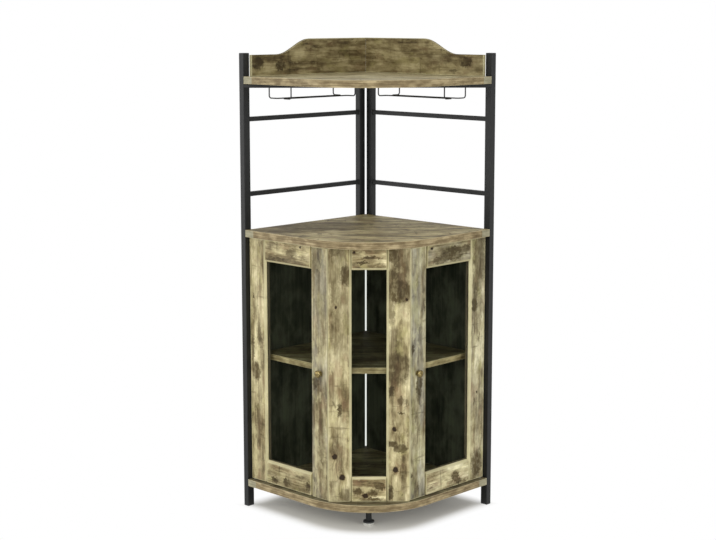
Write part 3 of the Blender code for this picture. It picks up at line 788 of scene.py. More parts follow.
def link(name: str, data: bpy.types.ID) -> bpy.types.Object:
    """Add an object to the scene.

    Args:
        name: The object's name.
        data: Its mesh, lamp or camera.

    Returns:
        The object.
    """
    obj = bpy.data.objects.new(name, data)
    bpy.context.scene.collection.objects.link(obj)
    return obj


def add_piece(name: str, mesh: Mesh, body: str, material: Material) -> bpy.types.Object:
    """Add a finished piece, with its place in its mesh.

    Args:
        name: The piece's name.
        mesh: Its mesh, in the cabinet's frame.
        body: The body that it rides on.
        material: Its finish.

    Returns:
        The piece's object.
    """
    mesh.materials.clear()
    mesh.materials.append(material)
    mesh.name = name
    obj = link(name, mesh)
    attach(obj, body)
    LOG.info("%s: %d faces on %s", name, len(mesh.polygons), body)
    return obj


def smooth(mesh: Mesh) -> Mesh:
    """Shade a mesh smooth, apart from its sharp edges.

    Args:
        mesh: The mesh.

    Returns:
        The same mesh.
    """
    mesh.shade_smooth()
    mesh.set_sharp_from_angle(angle=SHARP_ANGLE)
    return mesh


def new_mesh(name: str, points: Sequence, edges: Sequence = (), faces: Sequence = ()) -> Mesh:
    """Make a mesh.

    Args:
        name: The mesh's name.
        points: Its points.
        edges: Its edges, where it has no faces.
        faces: Its faces.

    Returns:
        The mesh.
    """
    mesh = bpy.data.meshes.new(name)
    mesh.from_pydata([tuple(point) for point in points], edges, faces)
    mesh.validate()
    return mesh


def mesh_of_rings(name: str, rings: Sequence[Sequence[Vector]], looped: bool = False) -> Mesh:
    """Join rings of points into a closed form.

    Args:
        name: The mesh's name.
        rings: Rings with the same number of points, from the bottom up and counter-clockwise from above.
        looped: Whether the last ring joins the first one. Otherwise both are closed by a face.

    Returns:
        The mesh.
    """
    sides, count = len(rings[0]), len(rings)
    top = (count - 1) * sides
    faces = [] if looped else [tuple(reversed(range(sides))), tuple(range(top, top + sides))]
    for level in range(count if looped else count - 1):
        low, high = level * sides, (level + 1) % count * sides
        for step in range(sides):
            turn = (step + 1) % sides
            faces.append((low + step, low + turn, high + turn, high + step))
    return new_mesh(name, [point for ring in rings for point in ring], faces=faces)


def turned_rings(profile: Sequence[tuple[float, float]], sides: int = HEAD_SIDES) -> list[list[Vector]]:
    """Turn a profile round the Z axis.

    Args:
        profile: The radius and the height of each ring.
        sides: The number of points in a ring.

    Returns:
        The rings.
    """
    turns = [math.tau * step / sides for step in range(sides)]
    return [
        [Vector((radius * math.cos(turn), radius * math.sin(turn), height)) for turn in turns]
        for radius, height in profile
    ]


def join_meshes(name: str, meshes: Sequence[Mesh]) -> Mesh:
    """Join meshes into one and remove them.

    Args:
        name: The new mesh's name.
        meshes: The meshes.

    Returns:
        The new mesh.
    """
    points: list[Vector] = []
    faces: list[tuple[int, ...]] = []
    for mesh in meshes:
        start = len(points)
        points += [vertex.co.copy() for vertex in mesh.vertices]
        faces += [tuple(start + index for index in polygon.vertices) for polygon in mesh.polygons]
        bpy.data.meshes.remove(mesh)
    return new_mesh(name, points, faces=faces)


def rounded_plate(name: str, length: float, width: float, thickness: float, corner: float) -> Mesh:
    """Make a plate with round corners and a small bevel on its top, lying on the XY plane.

    Args:
        name: The mesh's name.
        length: Its length along X.
        width: Its width along Y.
        thickness: Its thickness.
        corner: The radius of its corners.

    Returns:
        The plate.
    """
    bevel = min(thickness, corner) * 0.4
    rings = []
    for inset, height in ((0.0, 0.0), (0.0, thickness - bevel), (bevel, thickness)):
        ring = []
        for quarter, (side_x, side_y) in enumerate(((1, 1), (-1, 1), (-1, -1), (1, -1))):
            for step in range(CORNER_STEPS):
                turn = math.tau / 4 * (quarter + step / (CORNER_STEPS - 1))
                x = side_x * (length / 2 - corner) + (corner - inset) * math.cos(turn)
                y = side_y * (width / 2 - corner) + (corner - inset) * math.sin(turn)
                ring.append(Vector((x, y, height)))
        rings.append(ring)
    return mesh_of_rings(name, rings)


def stand(mesh: Mesh, normal: Vector, forward: Vector, place: Vector) -> Mesh:
    """Stand a mesh at a place.

    Args:
        mesh: The mesh, round the origin.
        normal: Where its Z is to point.
        forward: Where its X is to point.
        place: Where its origin goes.

    Returns:
        The same mesh.
    """
    z = normal.normalized()
    x = (forward - z * forward.dot(z)).normalized()
    mesh.transform(Matrix.Translation(place) @ Matrix((x, z.cross(x), z)).transposed().to_4x4())
    return mesh


@dataclass(frozen=True)
class ScrewHead:
    """A screw's or bolt's head, the only part of it that shows. Its recess is a cross or a hexagon."""

    radius: float
    height: float
    recess_radius: float
    recess_depth: float
    hexagonal: bool = False

    def mesh(self) -> Mesh:
        """Make the head, standing on the XY plane.

        Returns:
            The head.
        """
        dome = ((1.0, 0.0), (1.0, 0.30), (0.93, 0.62), (0.80, 0.85), (0.64, 0.97), (0.58, 1.0))
        rings = turned_rings([(self.radius * share, self.height * level) for share, level in dome])
        for height in (self.height, self.height - self.recess_depth):
            ring = []
            for turn in (math.tau * step / HEAD_SIDES for step in range(HEAD_SIDES)):
                reach = self._recess_reach(turn)
                ring.append(Vector((math.cos(turn) * reach, math.sin(turn) * reach, height)))
            rings.append(ring)
        return smooth(mesh_of_rings("head", rings))

    def _recess_reach(self, turn: float) -> float:
        """Measure how far the recess reaches from the head's middle.

        Args:
            turn: The direction, as an angle.

        Returns:
            The distance.
        """
        arm_share, least_sine = 0.22, 0.05
        step = math.tau / (6 if self.hexagonal else 4)
        from_arm = (turn + step / 2) % step - step / 2
        if self.hexagonal:
            return self.recess_radius * math.cos(step / 2) / math.cos(from_arm)
        sine = max(math.sin(abs(from_arm)), least_sine)
        return min(self.recess_radius, arm_share * self.recess_radius / sine)


# Each head has its radius and height, and the radius and depth of its recess.
BOLT = ScrewHead(0.0050, 0.0026, 0.0021, 0.0018, hexagonal=True)
GALLERY_SCREW = ScrewHead(0.0036, 0.0006, 0.0022, 0.0005)
KNOB_SCREW = ScrewHead(0.0042, 0.0024, 0.0026, 0.0015)
STRIKE_SCREW = ScrewHead(0.0022, 0.00006, 0.0013, 0.00004)
CATCH_SCREW = ScrewHead(0.0024, 0.0009, 0.0015, 0.0006)
LEG_SCREW = ScrewHead(0.0030, 0.0009, 0.0018, 0.0006)
BRAD = ScrewHead(0.0011, 0.0004, 0.0004, 0.0002)


def set_heads(graph: Graph, ports: SimpleNamespace) -> Ports:
    """Set a head on each point, each turned by its own angle.

    Args:
        graph: The tree's graph.
        ports: The points, the head, the direction it faces and the seed of the angles.

    Returns:
        The heads.
    """
    align = graph.signal("FunctionNodeAlignRotationToVector", {"Vector": ports.facing}, axis="Z")
    head = graph.signal("GeometryNodeObjectInfo", {"Object": ports.head}, "Geometry")
    inputs = {"Points": ports.geometry, "Instance": head, "Rotation": align}
    spread = graph.signal("GeometryNodeInstanceOnPoints", inputs)
    inputs = {"Seed": ports.seed, 3: math.tau}
    spin = graph.signal("FunctionNodeRandomValue", inputs, 1, data_type="FLOAT")
    inputs = {"Instances": spread, "Rotation": graph.together(0.0, 0.0, spin)}
    turned = graph.signal("GeometryNodeRotateInstances", inputs)
    return {"geometry": graph.signal("GeometryNodeRealizeInstances", {"Geometry": turned})}


def lay_drops(graph: Graph, ports: SimpleNamespace) -> Ports:
    """Set a small flattened drop at every step along the loops of a mesh.

    Args:
        graph: The tree's graph.
        ports: The loops, the pitch and radius of the drops, and the seed of their sizes.

    Returns:
        The weld.
    """
    curve = graph.signal("GeometryNodeMeshToCurve", {"Mesh": ports.geometry})
    inputs = {"Curve": curve, "Length": ports.pitch}
    steps = graph.signal("GeometryNodeResampleCurve", inputs, mode="LENGTH")
    tangent = graph.signal("GeometryNodeInputTangent")
    align = graph.signal("FunctionNodeAlignRotationToVector", {"Vector": tangent}, axis="X")
    drop = graph.signal("GeometryNodeMeshIcoSphere", {"Radius": ports.radius, "Subdivisions": 2})
    inputs = {"Seed": ports.seed, 2: 0.82, 3: 1.12}
    size = graph.signal("FunctionNodeRandomValue", inputs, 1, data_type="FLOAT")
    flat = graph.together(0.8, size, size)
    inputs = {"Points": steps, "Instance": drop, "Rotation": align, "Scale": flat}
    drops = graph.signal("GeometryNodeInstanceOnPoints", inputs)
    real = graph.signal("GeometryNodeRealizeInstances", {"Geometry": drops})
    return {"geometry": graph.signal("GeometryNodeSetShadeSmooth", {"Geometry": real})}


def sweep_bead(graph: Graph, ports: SimpleNamespace) -> Ports:
    """Sweep a rounded section along a rectangle, with mitred corners.

    Args:
        graph: The tree's graph.
        ports: The rectangle's size, the bead's size and the rounding of its section.

    Returns:
        The bead.
    """
    oblong = "GeometryNodeCurvePrimitiveQuadrilateral"
    path = graph.signal(oblong, {0: ports.width, 1: ports.height})
    section = graph.signal(oblong, {0: ports.bead_width * math.sqrt(2), 1: ports.bead_depth})
    inputs = {"Curve": section, "Radius": ports.rounding, "Count": 3}
    rounded = graph.signal("GeometryNodeFilletCurve", inputs, mode="POLY")
    inputs = {"Curve": path, "Profile Curve": rounded}
    return {"geometry": graph.signal("GeometryNodeCurveToMesh", inputs)}


def grow(start: Mesh, tree: bpy.types.NodeTree, **values: object) -> Mesh:
    """Run a Geometry Nodes tree.

    Args:
        start: The mesh that the tree starts from.
        tree: The tree.
        **values: Its inputs by name.

    Returns:
        Its result as a plain mesh, with no modifier left.
    """
    obj = link("grown", start)
    modifier = obj.modifiers.new("grown", "NODES")
    modifier.node_group = tree
    for item in tree.interface.items_tree:
        if item.in_out == "INPUT" and item.name in values:
            modifier[item.identifier] = values[item.name]
    graph = bpy.context.evaluated_depsgraph_get()
    graph.update()
    mesh = bpy.data.meshes.new_from_object(obj.evaluated_get(graph))
    bpy.data.objects.remove(obj)
    return mesh


class Workshop:
    """What every sub-assembly is dressed with: the finishes and the trees that grow small parts."""

    weld_pitch = 0.0015
    weld_radius = 0.0013
    bead_rounding = 0.0022

    def __init__(self) -> None:
        """Build the finishes and the trees."""
        self.groups = Groups()
        self.steel, self.zinc, self.plastic, self.bead = (
            finish.build(self.groups) for finish in (STEEL, ZINC, PLASTIC, BEAD)
        )
        self.panel = black_board()
        self.glass = window_glass()
        self.bronze = antique_bronze()
        self.foot = foot_moulding(self.groups)
        bead_inputs = "geometry width height bead_width bead_depth rounding"
        self.head_tree = build_group("Heads", set_heads, "geometry head facing seed", "geometry")
        self.weld_tree = build_group("Weld", lay_drops, "geometry pitch radius seed", "geometry")
        self.bead_tree = build_group("Bead", sweep_bead, bead_inputs, "geometry")

    def add_heads(
        self,
        name: str,
        head: ScrewHead,
        places: Sequence[Vector],
        facing: Vector,
        seed: int,
        body: str = CARCASS,
        material: Material | None = None,
    ) -> None:
        """Add a piece made of heads.

        Args:
            name: The piece's name.
            head: The head.
            places: Where the heads go.
            facing: The direction that they face.
            seed: What their angles come from.
            body: The body that they ride on.
            material: Their finish, where it isn't zinc.
        """
        prototype = link("head", head.mesh())
        values = {"head": prototype, "facing": tuple(facing), "seed": seed}
        mesh = grow(new_mesh("marks", places), self.head_tree, **values)
        bpy.data.objects.remove(prototype)
        add_piece(name, mesh, body, material or self.zinc)

    def weld(self, loops: Sequence[Sequence[Vector]], seed: int) -> Mesh:
        """Lay a weld round loops of points.

        Args:
            loops: The loops.
            seed: What the sizes of its drops come from.

        Returns:
            One mesh with all the welds.
        """
        points: list[Vector] = []
        edges: list[tuple[int, int]] = []
        for loop in loops:
            start, count = len(points), len(loop)
            points += loop
            edges += [(start + step, start + (step + 1) % count) for step in range(count)]
        start = new_mesh("loops", points, edges)
        return grow(start, self.weld_tree, pitch=self.weld_pitch, radius=self.weld_radius, seed=seed)

    def mould(self, width: float, height: float, bead_width: float, bead_depth: float) -> Mesh:
        """Return a bead along the middle line of a rectangle, round the origin in the XY plane."""
        sizes = {"width": width, "height": height, "bead_width": bead_width, "bead_depth": bead_depth}
        return smooth(grow(new_mesh("bead", []), self.bead_tree, rounding=self.bead_rounding, **sizes))


def dress_side_frame(shop: Workshop, wall: WallFrame) -> None:
    """Finish the steel frame at one wall, and add its welds, bolts and post caps.

    Args:
        shop: The workshop.
        wall: The wall.
    """
    weld_gap = 0.0002
    bolt_shares = (0.16, 0.84)
    cap_size = (0.0238, 0.0188, 0.0014, 0.0016)
    side, seed = wall.name, FRAME_SEED + wall.hand
    loops, bolts = [], []
    for place in ("base", "worktop", "lower", "upper", "shelf"):
        finish_nodes(shop.steel, f"{side}_{place}_rail")
        low, high = wall.extent(f"{side}_{place}_rail")
        section = ((low.y, low.z), (high.y, low.z), (high.y, high.z), (low.y, high.z))
        for along in (low.x + weld_gap, high.x - weld_gap):
            loops.append([wall.point(along, inward, height) for inward, height in section])
        if place not in ("lower", "upper"):
            for share in bolt_shares:
                along = low.x + share * (high.x - low.x)
                bolts.append(wall.point(along, low.y - SURFACE_GAP, (low.z + high.z) / 2))
    caps = []
    for place in ("front", "rear"):
        finish_nodes(shop.steel, f"{side}_{place}_post")
        finish_nodes(shop.plastic, f"{side}_{place}_glide")
        low, high = wall.extent(f"{side}_{place}_post")
        top = wall.point((low.x + high.x) / 2, (low.y + high.y) / 2, high.z)
        caps.append(stand(rounded_plate("cap", *cap_size), UP, wall.along, top))
    add_piece(f"{side}_frame_welds", shop.weld(loops, seed), CARCASS, shop.steel)
    shop.add_heads(f"{side}_board_bolts", BOLT, bolts, -wall.inward, seed, material=shop.steel)
    add_piece(f"{side}_post_caps", smooth(join_meshes("caps", caps)), CARCASS, shop.plastic)


# How grey, bright and warm each member's print is, with its stained patches and knots, in this and the next
# tables.
# A low brightness and weak broad patches also paint shade on some pieces.
BOARD_MARKS = {
    # The base board's low brightness is painted shade on its top, which lies in the cabinet's shadow.
    "base_board": Marks(0.3, 0.38),
    # The worktop's lower brightness and its two broad weak patches at the left are painted shade under the
    # top shelf; the other spots are stained spots and knots.
    "worktop": Marks(
        0.05,
        0.84,
        0.04,
        stains_and_shade=(
            (130, 330, 190, 150, 0.8),
            (290, 350, 90, 120, 0.6),
            (380, 150, 90, 26, 0.6),
            (560, 260, 60, 16, 0.5),
            (330, 60, 50, 12, 0.6),
        ),
        knots=((500, 260, 9, 7), (230, 180, 10, 8)),
    ),
    "top_shelf": Marks(0.3, 0.95, knots=((300, 200, 9, 7),)),
    # The inner shelf's low brightness is painted shade: it lies in the dark inside the cabinet.
    "inner_shelf": Marks(0.3, 0.27),
}

GALLERY_MARKS = {
    LEFT: Marks(0.0, 0.52, 0.06, ((25, 40, 26, 22), (120, 30, 24, 14))),
    RIGHT: Marks(0.0, 0.54, 0.06, ((440, 40, 26, 18), (330, 50, 60, 20, 0.4), (500, 30, 60, 50, 0.3))),
}


def dress_boards(shop: Workshop) -> None:
    """Finish the boards and the gallery, and add the screws that hold the gallery from below.

    Args:
        shop: The workshop.
    """
    across_shelf, along_shelf = Vector((0, 1, 0)), Vector((1, 0, 0))
    screw_places = (0.07, 0.27, 0.47)
    for step, (node, marks) in enumerate(BOARD_MARKS.items()):
        end = NO_PALE_END if node == "inner_shelf" else PALE_END
        WoodPiece(node, along_shelf, across_shelf, marks, BOARD_SEED + step, end).finish(shop.groups)
    for wall, marks in GALLERY_MARKS.items():
        node = f"{wall.name}_gallery"
        WoodPiece(node, wall.along * wall.hand, UP, marks, GALLERY_SEED + wall.hand).finish(shop.groups)
        low, high = wall.extent(node)
        inward, height = (low.y + high.y) / 2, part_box("top_shelf")[0].z - SURFACE_GAP
        screws = [wall.point(along, inward, height) for along in screw_places]
        shop.add_heads(f"{node}_screws", GALLERY_SCREW, screws, -UP, GALLERY_SCREW_SEED)


@dataclass(frozen=True)
class GlazedFrame:
    """Two stiles, two rails and a pane, with a bead behind the pane held by brads."""

    shop: Workshop
    name: str
    body: str
    right: Vector
    marks: dict[str, Marks]
    seed: int
    bead_gap: float = 0.0004
    bead_margin: float = 0.0006
    bead_set_in: float = 0.0006
    brad_pitch: float = 0.085

    def dress(self) -> None:
        """Finish the frame's members and its pane, and add the bead and its brads."""
        for step, (member, marks) in enumerate(self.marks.items()):
            upright = "stile" in member
            grain, across = (UP, -self.right) if upright else (self.right, UP)
            node = f"{self.name}_{member}"
            piece = WoodPiece(node, grain, across, marks, self.seed + step, mirrored=upright)
            piece.finish(self.shop.groups)
        finish_nodes(self.shop.glass, f"{self.name}_glass")
        self._add_bead()

    def _add_bead(self) -> None:
        """Add the glazing bead in the pocket behind the pane, and its brads."""
        outward = self.right.cross(UP)
        axes = (self.right, UP, outward)
        members = [extent(f"{self.name}_{member}", axes) for member in self.marks]
        low, high = extent(f"{self.name}_glass", axes)
        pane = high - low
        laps = []
        for axis, (first, second) in enumerate((members[:2], members[2:])):
            opening = max(first[0][axis], second[0][axis]) - min(first[1][axis], second[1][axis])
            laps.append((pane[axis] - opening) / 2)
        width = min(laps) - self.bead_margin
        back = members[0][0].z + self.bead_set_in
        depth = low.z - back - self.bead_gap
        middle = (low + high) / 2
        centre = self.right * middle.x + UP * middle.y + outward * (back + depth / 2)
        across, upward = (reach - width - self.bead_margin for reach in (pane.x, pane.y))
        bead = stand(self.shop.mould(across, upward, width, depth), outward, self.right, centre)
        add_piece(f"{self.name}_glazing_bead", bead, self.body, self.shop.bead)
        brads = []
        for side in (-1, 1):
            runs = ((self.right, UP, across, upward), (UP, self.right, upward, across))
            for direction, crossing, reach, other in runs:
                count = max(2, round(reach / self.brad_pitch))
                for step in range(count):
                    offset = direction * (reach * ((step + 0.5) / count - 0.5))
                    brads.append(centre + offset + crossing * (side * other / 2) - outward * (depth / 2))
        self.shop.add_heads(f"{self.name}_bead_brads", BRAD, brads, -outward, self.seed, self.body)


# The knob's turned profile: the radius and the height of each ring in mm.
KNOB_PROFILE = (
    *((8.5, 0.0), (8.5, 0.7), (8.1, 1.2), (7.3, 1.3), (6.9, 1.8), (5.8, 2.0), (4.8, 2.8), (4.5, 4.4)),
    *((4.7, 6.2), (5.8, 7.4), (8.2, 8.4), (10.3, 9.6), (11.3, 11.0), (11.5, 12.3), (11.2, 13.6)),
    *((10.4, 14.8), (9.5, 15.6), (8.8, 15.8), (8.2, 16.3), (6.4, 17.2), (3.6, 17.8), (0.8, 18.0)),
)

# The weak broad patches high on the stiles are painted shade that darkens their tops, and so is the right top
# rail's low brightness; the other spots are stained patches and knots.
DOOR_MARKS = {
    LEFT: {
        "outer_stile": Marks(
            0.15,
            0.99,
            stains_and_shade=((350, 26, 34, 20), (420, 10, 50, 8, 0.8), (470, 40, 40, 10, 0.7), (585, 14, 9, 6)),
        ),
        "inner_stile": Marks(
            0.75,
            0.89,
            -0.02,
            ((354, 21, 22, 14), (600, 50, 160, 26, 0.5), (700, 30, 90, 30, 0.5), (190, 48, 70, 16, 0.5)),
        ),
        "top_rail": Marks(
            0.15, 1.02, stains_and_shade=((60, 14, 30, 7, 0.7), (120, 40, 26, 12, 0.7)), knots=((157, 61, 5, 4),)
        ),
        "bottom_rail": Marks(0.12, 0.87, stains_and_shade=((37, 14, 16, 11), (91, 18, 18, 14), (186, 24, 13, 18))),
    },
    RIGHT: {
        "outer_stile": Marks(
            0.35,
            1.12,
            -0.04,
            ((50, 36, 50, 26), (640, 28, 90, 18, 0.6), (700, 42, 90, 26, 0.75), (560, 20, 26, 16)),
            ((280, 35, 6, 4),),
        ),
        "inner_stile": Marks(0.8, 0.88, -0.05, ((348, 38, 42, 15), (462, 9, 16, 7), (73, 6, 9, 6))),
        "top_rail": Marks(
            0.6,
            0.82,
            -0.02,
            ((117, 34, 60, 26), (60, 20, 40, 14, 0.8), (170, 40, 26, 16, 0.8)),
            ((18, 59, 6, 5),),
        ),
        "bottom_rail": Marks(0.25, 1.3, -0.04, ((134, 30, 18, 20), (150, 12, 14, 12))),
    },
}

# The weak broad patches high on the stiles are painted shade that darkens their tops; the other spots are
# stained patches and knots.
CENTRE_PANEL_MARKS = {
    "left_stile": Marks(
        0.2,
        0.9,
        stains_and_shade=(
            *((283, 35, 24, 8), (690, 55, 36, 20), (650, 26, 120, 30, 0.4), (760, 20, 16, 20, 0.8)),
            *((560, 36, 130, 34, 0.45), (640, 22, 60, 16, 0.6), (20, 50, 24, 20, 0.7)),
            (715, 24, 90, 34, 0.5),
        ),
        knots=((139, 19, 11, 9), (75, 42, 12, 10), (595, 24, 6, 5)),
    ),
    "right_stile": Marks(
        0.15,
        0.94,
        stains_and_shade=(
            *((750, 22, 26, 30), (752, 50, 22, 20, 0.5), (690, 14, 20, 26, 0.9), (643, 35, 40, 56)),
            *((580, 14, 44, 12, 0.6), (497, 22, 40, 28, 0.45), (409, 32, 54, 46, 0.9), (340, 14, 20, 10)),
            *((310, 44, 16, 12, 0.8), (272, 45, 4, 10), (178, 14, 10, 20), (164, 42, 15, 24)),
            *((30, 12, 26, 9), (705, 34, 110, 44, 0.6)),
        ),
        knots=((223, 23, 9, 8), (98, 28, 11, 10), (618, 59, 6, 5)),
    ),
    "top_rail": Marks(0.15, 1.12, stains_and_shade=((60, 38, 34, 3), (30, 22, 20, 5)), knots=((8, 54, 6, 5),)),
    "bottom_rail": Marks(
        0.1,
        1.12,
        stains_and_shade=((18, 30, 18, 13), (84, 46, 18, 13), (60, 6, 34, 7), (62, 26, 20, 10)),
        knots=((40, 18, 11, 9),),
    ),
}


def dress_door(shop: Workshop, wall: WallFrame) -> None:
    """Finish a door, and add its turned knob with the screw and the plate that its catch holds.

    Args:
        shop: The workshop.
        wall: The wall at the door's side.
    """
    plate_size = (0.038, 0.012, 0.00018, 0.0015)
    plate_sink, plate_drop, screw_share = 0.02, 0.001, 0.36
    door, zinc = f"{wall.name}_door", shop.zinc
    seed = DOOR_SEED + 10 * wall.hand
    GlazedFrame(shop, door, door, wall.inward * -wall.hand, DOOR_MARKS[wall], seed).dress()
    finish_nodes(zinc, f"{door}_top_pin", f"{door}_bottom_pin")
    back = wall.extent(f"{door}_inner_stile")[0].x

    node = f"{door}_knob"
    low, high = wall.extent(node)
    inward, height = (low.y + high.y) / 2, (low.z + high.z) / 2
    rings = turned_rings([(radius * MM, rise * MM) for radius, rise in KNOB_PROFILE], KNOB_SIDES)
    place = wall.point(low.x, inward, height)
    mesh = stand(smooth(mesh_of_rings("knob", rings)), wall.along, UP, place)
    knob = add_piece(f"{node}_turned", mesh, door, shop.bronze)
    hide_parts(node)
    screws = [wall.point(back - SURFACE_GAP, inward, height)]
    shop.add_heads(f"{node}_screw", KNOB_SCREW, screws, -wall.along, KNOB_SCREW_SEED, door)

    low, high = wall.extent(f"{wall.name}_magnetic_catch")
    inward, height = (low.y + high.y) / 2, (low.z + high.z) / 2 - plate_drop
    length, thickness = plate_size[0], plate_size[2]
    behind = back - thickness * plate_sink
    place = wall.point(behind, inward, height)
    plate = stand(rounded_plate("plate", *plate_size), -wall.along, wall.inward, place)
    add_piece(f"{door}_strike_plate", smooth(plate), door, zinc)
    reach = length * screw_share
    screws = [wall.point(behind - thickness, inward + step * reach, height) for step in (-1, 1)]
    shop.add_heads(f"{door}_strike_screws", STRIKE_SCREW, screws, -wall.along, STRIKE_SCREW_SEED, door)


def dress_inside(shop: Workshop, wall: WallFrame) -> None:
    """Finish a side panel, its pegs and its catch, and add the catch's screws.

    Args:
        shop: The workshop.
        wall: The wall.
    """
    side = wall.name
    catch = f"{side}_magnetic_catch"
    finish_nodes(shop.panel, f"{side}_side_panel")
    finish_nodes(shop.zinc, f"{side}_front_peg", f"{side}_rear_peg")
    finish_nodes(shop.plastic, catch)
    low, high = wall.extent(catch)
    screws = []
    for share in (0.14, 0.86):
        inward = low.y + share * (high.y - low.y)
        screws.append(wall.point((low.x + high.x) / 2, inward, low.z - SURFACE_GAP))
    shop.add_heads(f"{side}_catch_screws", CATCH_SCREW, screws, -UP, CATCH_SCREW_SEED)


# A push-on washer's section under the shelf: the radius and the height of each ring in mm.
WASHER_PROFILE = ((2.1, -0.99), (2.835, -1.1), (3.68, -0.77), (4.6, -0.275), (4.6, -0.1), (2.1, -0.1))


def dress_rack(shop: Workshop, wall: WallFrame) -> None:
    """Finish the wires that stemmed glasses hang from, and add a washer where each enters the shelf.

    Args:
        shop: The workshop.
        wall: The wall.
    """
    wire_radius = 0.002
    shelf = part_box("top_shelf")[0].z
    rings = turned_rings([(radius * MM, rise * MM) for radius, rise in WASHER_PROFILE])
    washers = []
    for place in ("wall", "room"):
        node = f"{wall.name}_rack_{place}_wire"
        finish_nodes(shop.steel, node)
        low, high = wall.extent(node)
        inward = low.y + wire_radius if place == "wall" else high.y - wire_radius
        for along in (low.x + wire_radius, high.x - wire_radius):
            washer = mesh_of_rings("washer", rings, looped=True)
            washer.transform(Matrix.Translation(wall.point(along, inward, shelf)))
            washers.append(washer)
    add_piece(f"{wall.name}_rack_washers", smooth(join_meshes("washers", washers)), CARCASS, shop.steel)


def dress_leg(shop: Workshop) -> None:
    """Finish the leg under the nose and its foot, and add the screws of its plate.

    Args:
        shop: The workshop.
    """
    screw_circle, plate_thickness, count = 0.0155, 0.0025, 4
    finish_nodes(shop.steel, "centre_leg")
    finish_nodes(shop.foot, "centre_foot")
    low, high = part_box("centre_leg")
    middle = (low + high) / 2
    middle.z = high.z - plate_thickness - SURFACE_GAP
    screws = []
    for step in range(count):
        turn = math.tau * (step + 0.5) / count
        screws.append(middle + Vector((math.cos(turn), math.sin(turn), 0)) * screw_circle)
    shop.add_heads("centre_leg_screws", LEG_SCREW, screws, -UP, LEG_SCREW_SEED)


@dataclass(frozen=True)
class Lamp:
    """A square soft lamp that points at a target. A card shows in glossy surfaces only."""

    name: str
    place: Point
    target: Point
    size: float
    power: float
    card: bool = False

    def add(self) -> None:
        """Add the lamp to the scene."""
        data = bpy.data.lights.new(self.name, "AREA")
        data.shape = "SQUARE"
        data.size = self.size
        data.energy = self.power
        obj = link(self.name, data)
        obj.location = self.place
        aim = Vector(self.target) - Vector(self.place)
        obj.rotation_euler = aim.to_track_quat("-Z", "Y").to_euler()
        obj.visible_camera = False
        obj.visible_transmission = False
        obj.visible_diffuse = not self.card


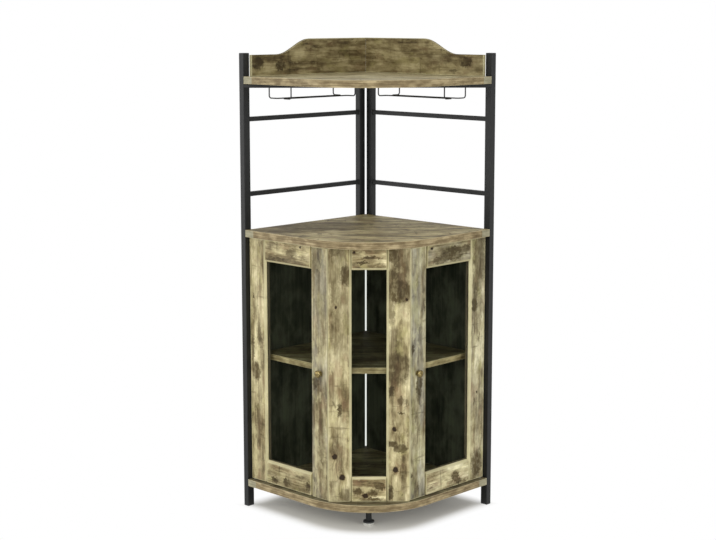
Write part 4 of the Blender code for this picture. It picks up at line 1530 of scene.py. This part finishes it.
@dataclass(frozen=True)
class Studio:
    """The white room, its lamps and the camera.

    The floor turns plain white across the outline of the base board: plain_from and plain_to are distances
    out from it, and plain_least is the share of plain white further in, a glow that paints light into the
    cabinet's shadow.
    """

    sky: float = 0.52
    floor_reach: float = 40.0
    floor_colour: Colour = srgb(240, 238, 230)
    plain_from: float = -0.045
    plain_to: float = 0.025
    plain_least: float = 0.05
    board_reach: float = 0.554
    nose_radius: float = 0.25
    lamps: tuple[Lamp, ...] = (
        Lamp("key_lamp", (-1.6, -3.6, 2.2), (0.0, -0.1, 0.6), 2.2, 58.0),
        Lamp("fill_lamp", (2.4, -3.1, 1.5), (0.0, -0.1, 0.5), 2.0, 36.0),
        Lamp("top_lamp", (-0.4, -1.2, 3.4), (0.0, -0.1, 1.0), 1.6, 16.0),
        Lamp("side_lamp", (-2.7, -0.2, 0.9), (-0.3, -0.1, 0.75), 1.4, 10.0),
        Lamp("side_card", (-2.7, -0.2, 0.9), (-0.3, -0.1, 0.75), 1.4, 18.0, True),
        Lamp("low_left_lamp", (-1.1, -1.2, 0.12), (-0.3, -0.1, 0.05), 0.6, 4.0),
        Lamp("low_right_lamp", (1.1, -1.2, 0.12), (0.3, -0.1, 0.05), 0.6, 3.8),
    )
    camera_place: Point = (-0.0828, -4.7579, 1.5363)
    camera_turn: Point = (math.radians(90 - 8.617), 0.0, -0.01737)
    sensor_width: float = 36.0
    lens: float = 77.36
    shift: tuple[float, float] = (-0.01304, -0.03)

    def build(self) -> None:
        """Add the camera, the background, the floor and the lamps."""
        self._camera()
        self._background()
        self._floor()
        for lamp in self.lamps:
            lamp.add()
        bpy.context.scene.view_settings.view_transform = "Standard"

    def _camera(self) -> None:
        """Add the camera at the photograph's place."""
        data = bpy.data.cameras.new("camera")
        data.lens = self.lens
        data.sensor_width = self.sensor_width
        data.sensor_fit = "HORIZONTAL"
        data.shift_x, data.shift_y = self.shift
        obj = link("camera", data)
        obj.location = self.camera_place
        obj.rotation_euler = self.camera_turn
        bpy.context.scene.camera = obj

    def _background(self) -> None:
        """Add a white background, which lights the cabinet more softly than it looks."""
        world = bpy.data.worlds.new("white_room")
        world.use_nodes = True
        bpy.context.scene.world = world
        graph = Graph(world.node_tree)
        strength = self._seen(graph) * (1.0 - self.sky) + self.sky
        graph.feed(world.node_tree.nodes["Background"], {"Color": WHITE, "Strength": strength})

    @staticmethod
    def _seen(graph: Graph) -> Signal:
        """Tell what the camera sees, straight, mirrored or through glass.

        Args:
            graph: The graph to add the nodes to.

        Returns:
            1 for what is seen, otherwise 0.
        """
        rays = ("Is Camera Ray", "Is Glossy Ray", "Is Transmission Ray")
        camera, glossy, through = (graph.signal("ShaderNodeLightPath", output=ray) for ray in rays)
        return camera.max(glossy).max(through)

    def _outside(self, graph: Graph, place: Signal) -> Signal:
        """Measure how far a point of the floor lies outside the base board's outline.

        Args:
            graph: The floor's graph.
            place: The point.

        Returns:
            The distance in metres, below 0 under the board.
        """
        x, y, _ = place.parts()
        drop = y * -1.0 + ROOM_CORNER.y
        walls = [(drop - x) * math.sqrt(0.5), (drop + x) * math.sqrt(0.5)]
        straight = self.board_reach - self.nose_radius
        bend = graph.together(*((wall - straight).max(0.0) for wall in walls), 0.0)
        front = bend.vector("LENGTH", output="Value") - self.nose_radius
        return front.max(walls[0].min(walls[1]) * -1.0)

    def _floor(self) -> None:
        """Add a white floor that keeps the cabinet's shadow, lifted a little by a painted glow, and turns
        plain white further out.
        """
        reach = self.floor_reach
        points = ((-reach, -reach, 0), (reach, -reach, 0), (reach, reach, 0), (-reach, reach, 0))
        surface = Surface("white_floor")
        rough = surface.place.noise((90, 90, 90), 3) * 0.1 + 0.75
        surface.set(Base_Color=self.floor_colour, Roughness=rough, Specular_IOR_Level=0.1)
        plain = surface.graph.signal("ShaderNodeEmission", {"Color": WHITE, "Strength": 1.0})
        outside = self._outside(surface.graph, surface.place)
        # Under the board a small share of plain white glows: painted light in the shadow.
        far = outside.span(self.plain_from, self.plain_to, self.plain_least)
        surface.cover(far * self._seen(surface.graph), plain)
        mesh = new_mesh("floor", points, faces=[(0, 1, 2, 3)])
        mesh.materials.append(surface.material)
        link("floor", mesh)


def main() -> None:
    """Dress the cabinet and set up the studio."""
    logging.basicConfig(level=logging.INFO, format="%(name)s: %(message)s")
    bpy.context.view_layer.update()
    Studio().build()
    shop = Workshop()
    walls = (LEFT, RIGHT)
    right = Vector((1, 0, 0))
    finish_nodes(shop.steel, "front_cross_bar")
    dress_boards(shop)
    for wall in walls:
        dress_side_frame(shop, wall)
    for wall in walls:
        dress_door(shop, wall)
    GlazedFrame(shop, "centre_panel", CARCASS, right, CENTRE_PANEL_MARKS, CENTRE_SEED).dress()
    for wall in walls:
        dress_inside(shop, wall)
    for wall in walls:
        dress_rack(shop, wall)
    dress_leg(shop)


if __name__ == "__main__":
    main()
